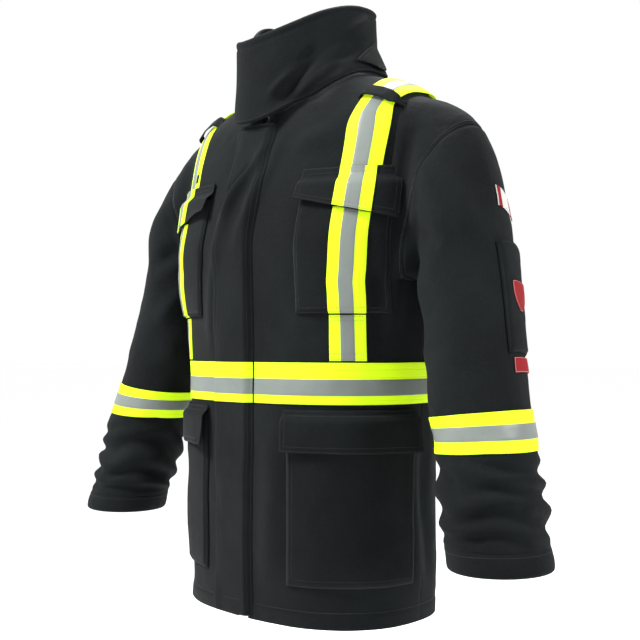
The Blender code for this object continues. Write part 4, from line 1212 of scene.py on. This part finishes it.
def make_stitching():
    """Every kept row of stitches, as one piece for each body."""
    faces = np.array(
        ((0, 2, 3), (0, 3, 4), (0, 4, 5), (0, 5, 2), (1, 3, 2), (1, 4, 3), (1, 5, 4), (1, 2, 5))
    )
    for (body, colour), rows in THREADS.items():
        a = np.concatenate([row[0] for row in rows])
        b = np.concatenate([row[1] for row in rows])
        up = np.concatenate([row[2] for row in rows])
        side = np.cross(b - a, up)
        side /= np.maximum(np.linalg.norm(side, axis=1, keepdims=True), 1e-9)
        middle = (a + b) / 2
        points = np.stack(
            (
                a - up * 0.0003,
                b - up * 0.0003,
                middle + side * 0.00042,
                middle + up * 0.00042,
                middle - side * 0.00042,
                middle - up * 0.0003,
            ),
            1,
        )
        index = np.arange(len(a))[:, None, None] * 6 + faces[None]
        name = f"{body}_stitching"
        mesh = bpy.data.meshes.new(name)
        mesh.from_pydata(points.reshape(-1, 3).tolist(), [], index.reshape(-1, 3).tolist())
        mesh.shade_smooth()
        obj = bpy.data.objects.new(name, mesh)
        bpy.context.scene.collection.objects.link(obj)
        seam = None
        if body.endswith("_sleeve"):
            seam = sleeve_seam_ends(1 if body.startswith("left") else -1)
        finish_piece(obj, "thread", (), body, seam)


def make_metal():
    """The zip sliders and pulls keep their frame shapes with brass on them."""
    for name in ("upper_zip_slider", "upper_zip_pull", "lower_zip_slider", "lower_zip_pull"):
        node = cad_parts[name]
        for place in node.material_slots:
            place.material = material_of("zip_metal")


class Graph:
    """A material's nodes: cloth coordinates in metres, and short ways to add and join nodes."""

    def __init__(self, name, roughness, metallic=0.0, sheen=0.0, sheen_roughness=0.5, specular=0.25):
        self.material = bpy.data.materials.new(name)
        self.material.use_nodes = True
        self.tree = self.material.node_tree
        self.shader = self.tree.nodes["Principled BSDF"]
        self.shader.inputs["Roughness"].default_value = roughness
        self.shader.inputs["Metallic"].default_value = metallic
        self.shader.inputs["Sheen Weight"].default_value = sheen
        self.shader.inputs["Sheen Roughness"].default_value = sheen_roughness
        self.shader.inputs["Specular IOR Level"].default_value = specular

    def node(self, kind, inputs=(), **values):
        made = self.tree.nodes.new(kind)
        for key, value in values.items():
            setattr(made, key, value)
        for key, value in dict(inputs).items():
            if isinstance(value, bpy.types.NodeSocket):
                self.tree.links.new(value, made.inputs[key])
            else:
                made.inputs[key].default_value = value
        return made

    def cloth_place(self):
        return self.node("ShaderNodeUVMap", uv_map="cloth").outputs["UV"]

    def solid_place(self):
        return self.node("ShaderNodeTexCoord").outputs["Object"]

    def math(self, operation, first, second=0.0, clamp=False):
        made = self.node("ShaderNodeMath", operation=operation, use_clamp=clamp)
        for index, value in enumerate((first, second)):
            if isinstance(value, bpy.types.NodeSocket):
                self.tree.links.new(value, made.inputs[index])
            else:
                made.inputs[index].default_value = value
        return made.outputs[0]

    def noise(self, place, scale, detail=2.0):
        made = self.node("ShaderNodeTexNoise", {"Vector": place, "Scale": scale, "Detail": detail})
        return made.outputs["Fac"]

    def remap(self, value, low, high, new_low=0.0, new_high=1.0):
        inputs = {"Value": value, "From Min": low, "From Max": high, "To Min": new_low, "To Max": new_high}
        return self.node("ShaderNodeMapRange", inputs).outputs["Result"]

    def mix(self, share, first, second):
        made = self.node("ShaderNodeMix", data_type="RGBA")
        for index, value in ((0, share), (6, first), (7, second)):
            if isinstance(value, bpy.types.NodeSocket):
                self.tree.links.new(value, made.inputs[index])
            else:
                made.inputs[index].default_value = value
        return made.outputs[2]

    def bump(self, height, strength, distance, normal=None):
        inputs = {"Height": height, "Strength": strength, "Distance": distance}
        if normal is not None:
            inputs["Normal"] = normal
        return self.node("ShaderNodeBump", inputs).outputs["Normal"]

    def finish(self, colour=None, normal=None, roughness=None):
        for key, value in (("Base Color", colour), ("Normal", normal), ("Roughness", roughness)):
            if value is not None:
                self.tree.links.new(value, self.shader.inputs[key])
        return self.material


def shade(colour, factor):
    return (*(min(1, value * factor) for value in colour[:3]), 1)


def twill(graph, place, period):
    """Diagonal ribs of a twill weave, one to each period in metres."""
    scale = math.pi / (5 * period)
    made = graph.node(
        "ShaderNodeTexWave", {"Vector": place, "Scale": scale, "Distortion": 0.6}, bands_direction="DIAGONAL"
    )
    return made.outputs["Fac"]


def shell_material():
    colour = coat_settings().shell_colour
    graph = Graph("black twill", 0.86, sheen=0.02, sheen_roughness=0.4, specular=0.055)
    place, solid = graph.cloth_place(), graph.solid_place()
    clouds = graph.noise(solid, 9.0, 4.0)
    lint = graph.noise(solid, 420.0, 3.0)
    share = graph.remap(graph.math("ADD", clouds, graph.math("MULTIPLY", lint, 0.55)), 0.5, 1.05)
    base = graph.mix(share, shade(colour, 0.55), shade(colour, 1.7))
    worn = graph.node("ShaderNodeAttribute", attribute_name="worn").outputs["Fac"]
    wear = graph.math("MULTIPLY", worn, graph.remap(graph.noise(solid, 60.0, 3.0), 0.35, 0.75), True)
    base = graph.mix(graph.math("MULTIPLY", wear, 0.5), base, shade(colour, 1.5))
    fibres = graph.remap(graph.noise(solid, 900.0, 1.0), 0.73, 0.8)
    base = graph.mix(graph.math("MULTIPLY", fibres, 0.35), base, shade(colour, 4.0))
    weave = graph.bump(twill(graph, place, coat_settings().weave), 0.5, 0.0004)
    nap = graph.bump(graph.noise(solid, 170.0, 5.0), 0.4, 0.0016, weave)
    rough = graph.remap(clouds, 0.3, 0.7, 0.8, 0.93)
    return graph.finish(base, nap, rough)


def lining_material():
    colour = coat_settings().lining_colour
    graph = Graph("quilted lining cloth", 0.5, sheen=0.2)
    place, solid = graph.cloth_place(), graph.solid_place()
    base = graph.mix(graph.noise(solid, 14.0, 3.0), shade(colour, 0.7), shade(colour, 1.3))
    wrinkles = graph.bump(graph.noise(solid, 70.0, 4.0), 0.4, 0.002)
    return graph.finish(base, graph.bump(twill(graph, place, 0.0008), 0.2, 0.0002, wrinkles))


def tape_material():
    settings = coat_settings()
    yellow, silver = settings.trim_colour, settings.silver_colour
    graph = Graph("reflective trim", 0.55)
    place, solid = graph.cloth_place(), graph.solid_place()
    split = graph.node("ShaderNodeSeparateXYZ", {"Vector": place})
    along, across = split.outputs[0], graph.math("ABSOLUTE", split.outputs[1])
    in_silver = graph.remap(across, 0.0099, 0.0095)
    grain = graph.noise(solid, 500.0, 2.0)
    webbing = graph.mix(graph.noise(solid, 30.0, 3.0), shade(yellow, 0.93), shade(yellow, 1.0))
    ribs = graph.node(
        "ShaderNodeTexWave", {"Vector": place, "Scale": 190.0, "Distortion": 0.3}, bands_direction="Y"
    ).outputs["Fac"]
    webbing = graph.mix(graph.math("MULTIPLY", ribs, 0.12), webbing, shade(yellow, 0.6))
    dashes = graph.remap(graph.math("PINGPONG", along, 0.0017), 0.0002, 0.0005)
    rows = None
    for at in (0.0112, 0.0181, 0.0238):
        near = graph.remap(graph.math("ABSOLUTE", graph.math("SUBTRACT", across, at)), 0.0006, 0.00025)
        rows = near if rows is None else graph.math("MAXIMUM", rows, near)
    sewn = graph.math("MULTIPLY", rows, graph.math("MULTIPLY", dashes, 0.75))
    webbing = graph.mix(sewn, webbing, (0.2, 0.3, 0.01, 1))
    beads = graph.mix(graph.noise(solid, 24.0, 3.0), shade(silver, 0.86), shade(silver, 1.12))
    scuffs = graph.remap(graph.noise(solid, 180.0, 5.0), 0.6, 0.75)
    beads = graph.mix(graph.math("MULTIPLY", scuffs, 0.25), beads, shade(silver, 0.6))
    base = graph.mix(in_silver, webbing, beads)
    # Painted glow: the webbing gives off its own yellow light, so it stays evenly bright however the lamps fall.
    painted_glow = graph.mix(in_silver, shade(yellow, 1.0), (0, 0, 0, 1))
    graph.tree.links.new(painted_glow, graph.shader.inputs["Emission Color"])
    graph.shader.inputs["Emission Strength"].default_value = settings.painted_glow
    fine = graph.bump(grain, 0.2, 0.0004)
    normal = graph.bump(
        graph.math("MULTIPLY", ribs, graph.math("SUBTRACT", 1.0, in_silver)), 0.3, 0.0003, fine
    )
    rough = graph.remap(in_silver, 0.0, 1.0, 0.7, 0.42)
    return graph.finish(base, normal, rough)


def zip_tape_material():
    graph = Graph("zip tape", 0.8, sheen=0.2)
    place = graph.cloth_place()
    ribs = twill(graph, place, 0.0012)
    base = graph.mix(ribs, (0.012, 0.012, 0.013, 1), (0.028, 0.028, 0.03, 1))
    return graph.finish(base, graph.bump(ribs, 0.4, 0.0003))


def metal_material():
    graph = Graph("aged brass", 0.35, metallic=1.0)
    solid = graph.solid_place()
    tarnish = graph.remap(graph.noise(solid, 160.0, 5.0), 0.4, 0.7)
    base = graph.mix(tarnish, (0.5, 0.37, 0.16, 1), (0.24, 0.17, 0.08, 1))
    rough = graph.remap(tarnish, 0.0, 1.0, 0.28, 0.5)
    return graph.finish(base, graph.bump(graph.noise(solid, 900.0, 3.0), 0.15, 0.0002), rough)


def patch_material():
    """White twill with a red stripe down each side and an overlocked edge."""
    graph = Graph("striped patch cloth", 0.75, specular=0.1)
    place = graph.cloth_place()
    split = graph.node("ShaderNodeSeparateXYZ", {"Vector": place})
    out = graph.math("ABSOLUTE", split.outputs[0])
    threads = graph.node(
        "ShaderNodeTexWave", {"Vector": place, "Scale": 22.0, "Distortion": 0.5}, bands_direction="Y"
    ).outputs["Fac"]
    white = graph.mix(threads, (0.36, 0.36, 0.35, 1), (0.45, 0.45, 0.44, 1))
    red = graph.mix(threads, (0.14, 0.003, 0.005, 1), (0.2, 0.005, 0.008, 1))
    stripe = graph.remap(out, 0.5, 0.52)
    border = graph.remap(out, 0.93, 0.94)
    base = graph.mix(border, graph.mix(stripe, white, red), white)
    return graph.finish(base, graph.bump(threads, 0.4, 0.0004))


def label_material():
    """Plain red woven cloth with a paler woven border."""
    graph = Graph("red label cloth", 0.6, specular=0.1)
    place = graph.cloth_place()
    threads = graph.node(
        "ShaderNodeTexWave", {"Vector": place, "Scale": 16.0, "Distortion": 0.4}, bands_direction="X"
    ).outputs["Fac"]
    red = coat_settings().label_colour
    base = graph.mix(threads, shade(red, 0.8), shade(red, 1.1))
    worn = graph.node("ShaderNodeAttribute", attribute_name="worn").outputs["Fac"]
    base = graph.mix(graph.remap(worn, 0.72, 0.8), base, (0.34, 0.1, 0.09, 1))
    return graph.finish(base, graph.bump(threads, 0.35, 0.0003))


def thread_material():
    graph = Graph("black thread", 0.55, sheen=0.3)
    solid = graph.solid_place()
    base = graph.mix(graph.noise(solid, 700.0, 1.0), (0.003, 0.0033, 0.0036, 1), (0.012, 0.013, 0.014, 1))
    return graph.finish(base, graph.bump(graph.noise(solid, 2500.0, 1.0), 0.3, 0.0001))


MAKERS = {
    "shell_fabric": shell_material,
    "quilted_lining": lining_material,
    "reflective_tape": tape_material,
    "zip_tape": zip_tape_material,
    "zip_metal": metal_material,
    "patch_cloth": patch_material,
    "red_label": label_material,
    "thread": thread_material,
}
MADE = {}


def material_of(slot):
    if slot not in MADE:
        MADE[slot] = MAKERS[slot]()
    return MADE[slot]


def make_stage():
    settings = bpy.context.scene.coat_stage
    floor_mesh = bpy.data.meshes.new("studio_floor")
    mesh = bmesh.new()
    bmesh.ops.create_circle(mesh, cap_ends=True, radius=settings.floor_radius, segments=96)
    mesh.to_mesh(floor_mesh)
    mesh.free()
    floor = bpy.data.objects.new("studio_floor", floor_mesh)
    floor.location.z = settings.floor_height
    bpy.context.scene.collection.objects.link(floor)
    graph = Graph("studio floor paint", 0.9)
    grain = graph.noise(graph.solid_place(), 3.0, 2.0)
    floor_mesh.materials.append(
        graph.finish(graph.mix(grain, shade(settings.floor_colour, 0.99), shade(settings.floor_colour, 1.0)))
    )
    world = bpy.data.worlds.new("studio")
    world.use_nodes = True
    background = world.node_tree.nodes["Background"]
    background.inputs["Color"].default_value = (1, 1, 1, 1)
    background.inputs["Strength"].default_value = settings.surround
    bpy.context.scene.world = world
    turn = math.radians(settings.azimuth)
    for name, azimuth, height, distance, size, power in (
        ("key softbox", settings.azimuth - 72, 1.75, 2.1, 0.9, settings.key),
        ("side softbox", settings.azimuth + 62, 0.9, 2.4, 0.8, settings.key * 0.32),
        ("top softbox", settings.azimuth + 170, 2.3, 1.3, 1.0, settings.key * 0.5),
    ):
        light = bpy.data.lights.new(name, "AREA")
        light.shape = "DISK"
        light.size = size
        light.energy = power
        lamp = bpy.data.objects.new(name, light)
        way = math.radians(azimuth)
        lamp.location = (math.sin(way) * distance, -math.cos(way) * distance, height)
        aim = np.array((0, 0, -0.4)) - np.array(lamp.location)
        lamp.rotation_euler = (
            math.atan2(math.hypot(aim[0], aim[1]), -aim[2]),
            0,
            math.atan2(aim[1], aim[0]) - math.pi / 2,
        )
        bpy.context.scene.collection.objects.link(lamp)
    data = bpy.data.cameras.new("view")
    data.lens = settings.lens
    data.sensor_width = 36
    data.shift_y = settings.shift
    camera = bpy.data.objects.new("view", data)
    camera.location = (
        math.sin(turn) * settings.distance,
        -math.cos(turn) * settings.distance,
        settings.eye_height,
    )
    camera.rotation_euler = (math.pi / 2, 0, turn)
    bpy.context.scene.collection.objects.link(camera)
    bpy.context.scene.camera = camera
    bpy.context.scene.view_settings.view_transform = "Standard"


def coat_settings():
    return bpy.context.scene.coat_looks


def number(name, description, default, **limits):
    return bpy.props.FloatProperty(name=name, description=description, default=default, **limits)


def colour(name, description, default):
    return bpy.props.FloatVectorProperty(
        name=name, description=description, default=default, subtype="COLOR", min=0, max=1
    )


class CoatLooks(bpy.types.PropertyGroup):
    """Cloth, trim and fold values of the coat"""

    wrinkles: number("Folds", "How deep the cloth's folds are, 1 being soft", 2.0, min=0, max=3)
    weave: number(
        "Weave", "Distance between two ribs of the twill", 0.0009, subtype="DISTANCE", unit="LENGTH"
    )
    shell_colour: colour("Shell", "Colour of the black twill", (0.0042, 0.0052, 0.0056))
    lining_colour: colour("Lining", "Colour of the quilted lining", (0.02, 0.02, 0.023))
    trim_colour: colour("Trim", "Fluorescent colour of the trim's webbing", (0.37, 0.56, 0.0))
    silver_colour: colour("Silver", "Colour of the reflective strip", (0.12, 0.135, 0.125))
    label_colour: colour("Labels", "Colour of the badge and the tag", (0.17, 0.003, 0.006))
    # Strength of the painted glow: light the webbing gives off though it is no lamp.
    painted_glow: number("Glow", "How strongly the fluorescent webbing shines", 0.75, min=0, max=2)


class CoatStage(bpy.types.PropertyGroup):
    """Camera, floor and light values of the studio"""

    azimuth: number(
        "Azimuth", "Direction the camera looks from, round from the front", 42.0, min=-180, max=180
    )
    distance: number("Distance", "Distance of the camera from the coat's middle", 1.6, unit="LENGTH")
    eye_height: number("Eye height", "Height of the camera above the neck", -0.43, unit="LENGTH")
    lens: number("Lens", "Focal length of the camera in millimetres", 57.6, min=10, max=200)
    shift: number("Shift", "Upward shift of the picture", 27 / 640, min=-0.5, max=0.5)
    floor_height: number("Floor", "Height of the floor", -1.45, unit="LENGTH")
    floor_radius: number("Floor radius", "Radius of the floor", 60.0, unit="LENGTH")
    floor_colour: colour("Floor colour", "Colour of the floor", (1.0, 1.0, 1.0))
    surround: number("Surround", "Strength of the light from all round", 1.0, min=0, max=5)
    key: number("Key light", "Power of the main soft light in watts", 230.0, min=0, max=1000)


def both_sides(maker, *more):
    for side, name in ((1, "left"), (-1, "right")):
        maker(side, name, *more)


class COAT_OT_body(bpy.types.Operator):
    """Builds both front panels and the back"""

    bl_idname = "coat.body"
    bl_label = "Body panels"

    def execute(self, context):
        make_body()
        return {"FINISHED"}


class COAT_OT_lining(bpy.types.Operator):
    """Builds the quilted lining of the body"""

    bl_idname = "coat.lining"
    bl_label = "Quilted lining"

    def execute(self, context):
        make_lining()
        return {"FINISHED"}


class COAT_OT_collar(bpy.types.Operator):
    """Builds the collar, its throat tab and the hang strap"""

    bl_idname = "coat.collar"
    bl_label = "Collar"

    def execute(self, context):
        make_collar()
        return {"FINISHED"}


class COAT_OT_zip(bpy.types.Operator):
    """Builds the zip's tapes and teeth, and gives its sliders their brass"""

    bl_idname = "coat.zip"
    bl_label = "Zip"

    def execute(self, context):
        make_zip()
        make_metal()
        return {"FINISHED"}


class COAT_OT_storm_flap(bpy.types.Operator):
    """Builds the flap over the zip and its trim"""

    bl_idname = "coat.storm_flap"
    bl_label = "Storm flap"

    def execute(self, context):
        make_storm_flap()
        return {"FINISHED"}


class COAT_OT_chest_pockets(bpy.types.Operator):
    """Builds both chest pockets, their flaps and trim"""

    bl_idname = "coat.chest_pockets"
    bl_label = "Chest pockets"

    def execute(self, context):
        both_sides(make_pocket, "chest")
        return {"FINISHED"}


class COAT_OT_cargo_pockets(bpy.types.Operator):
    """Builds both cargo pockets and their flaps"""

    bl_idname = "coat.cargo_pockets"
    bl_label = "Cargo pockets"

    def execute(self, context):
        both_sides(make_pocket, "cargo")
        return {"FINISHED"}


class COAT_OT_shoulder_trim(bpy.types.Operator):
    """Builds the trim and the loop over each shoulder"""

    bl_idname = "coat.shoulder_trim"
    bl_label = "Shoulder trim"

    def execute(self, context):
        both_sides(make_shoulder_trim)
        return {"FINISHED"}


class COAT_OT_waist_trim(bpy.types.Operator):
    """Builds the trim round the waist"""

    bl_idname = "coat.waist_trim"
    bl_label = "Waist trim"

    def execute(self, context):
        make_waist_trim()
        return {"FINISHED"}


class COAT_OT_sleeves(bpy.types.Operator):
    """Builds both sleeves with their linings, cuffs and trim"""

    bl_idname = "coat.sleeves"
    bl_label = "Sleeves"

    def execute(self, context):
        both_sides(make_sleeve)
        return {"FINISHED"}


class COAT_OT_arm_trim(bpy.types.Operator):
    """Builds the arm pocket, the striped patch, the badge and the tag"""

    bl_idname = "coat.arm_trim"
    bl_label = "Arm trim"

    def execute(self, context):
        make_arm_trim()
        return {"FINISHED"}


class COAT_OT_stitching(bpy.types.Operator):
    """Builds every row of stitches"""

    bl_idname = "coat.stitching"
    bl_label = "Stitching"

    def execute(self, context):
        make_stitching()
        return {"FINISHED"}


class COAT_OT_stage(bpy.types.Operator):
    """Builds the floor, the lights and the camera"""

    bl_idname = "coat.stage"
    bl_label = "Studio"

    def execute(self, context):
        make_stage()
        return {"FINISHED"}


STEPS = (
    COAT_OT_body,
    COAT_OT_lining,
    COAT_OT_collar,
    COAT_OT_zip,
    COAT_OT_storm_flap,
    COAT_OT_chest_pockets,
    COAT_OT_cargo_pockets,
    COAT_OT_shoulder_trim,
    COAT_OT_waist_trim,
    COAT_OT_sleeves,
    COAT_OT_arm_trim,
    COAT_OT_stitching,
    COAT_OT_stage,
)


class COAT_PT_panel(bpy.types.Panel):
    """Lists the steps that build the coat"""

    bl_idname = "COAT_PT_panel"
    bl_label = "Coat"
    bl_space_type = "VIEW_3D"
    bl_region_type = "UI"
    bl_category = "Coat"

    def draw(self, context):
        for step in STEPS:
            self.layout.operator(step.bl_idname)
        for group in (context.scene.coat_looks, context.scene.coat_stage):
            for key in group.bl_rna.properties.keys():
                if key not in ("rna_type", "name"):
                    self.layout.prop(group, key)


CLASSES = (CoatLooks, CoatStage, *STEPS, COAT_PT_panel)


def register():
    for kind in CLASSES:
        bpy.utils.register_class(kind)
    bpy.types.Scene.coat_looks = bpy.props.PointerProperty(type=CoatLooks)
    bpy.types.Scene.coat_stage = bpy.props.PointerProperty(type=CoatStage)


def unregister():
    del bpy.types.Scene.coat_looks
    del bpy.types.Scene.coat_stage
    for kind in reversed(CLASSES):
        bpy.utils.unregister_class(kind)


def main():
    register()
    for step in STEPS:
        group, name = step.bl_idname.split(".")
        getattr(getattr(bpy.ops, group), name)()


if __name__ == "__main__":
    main()
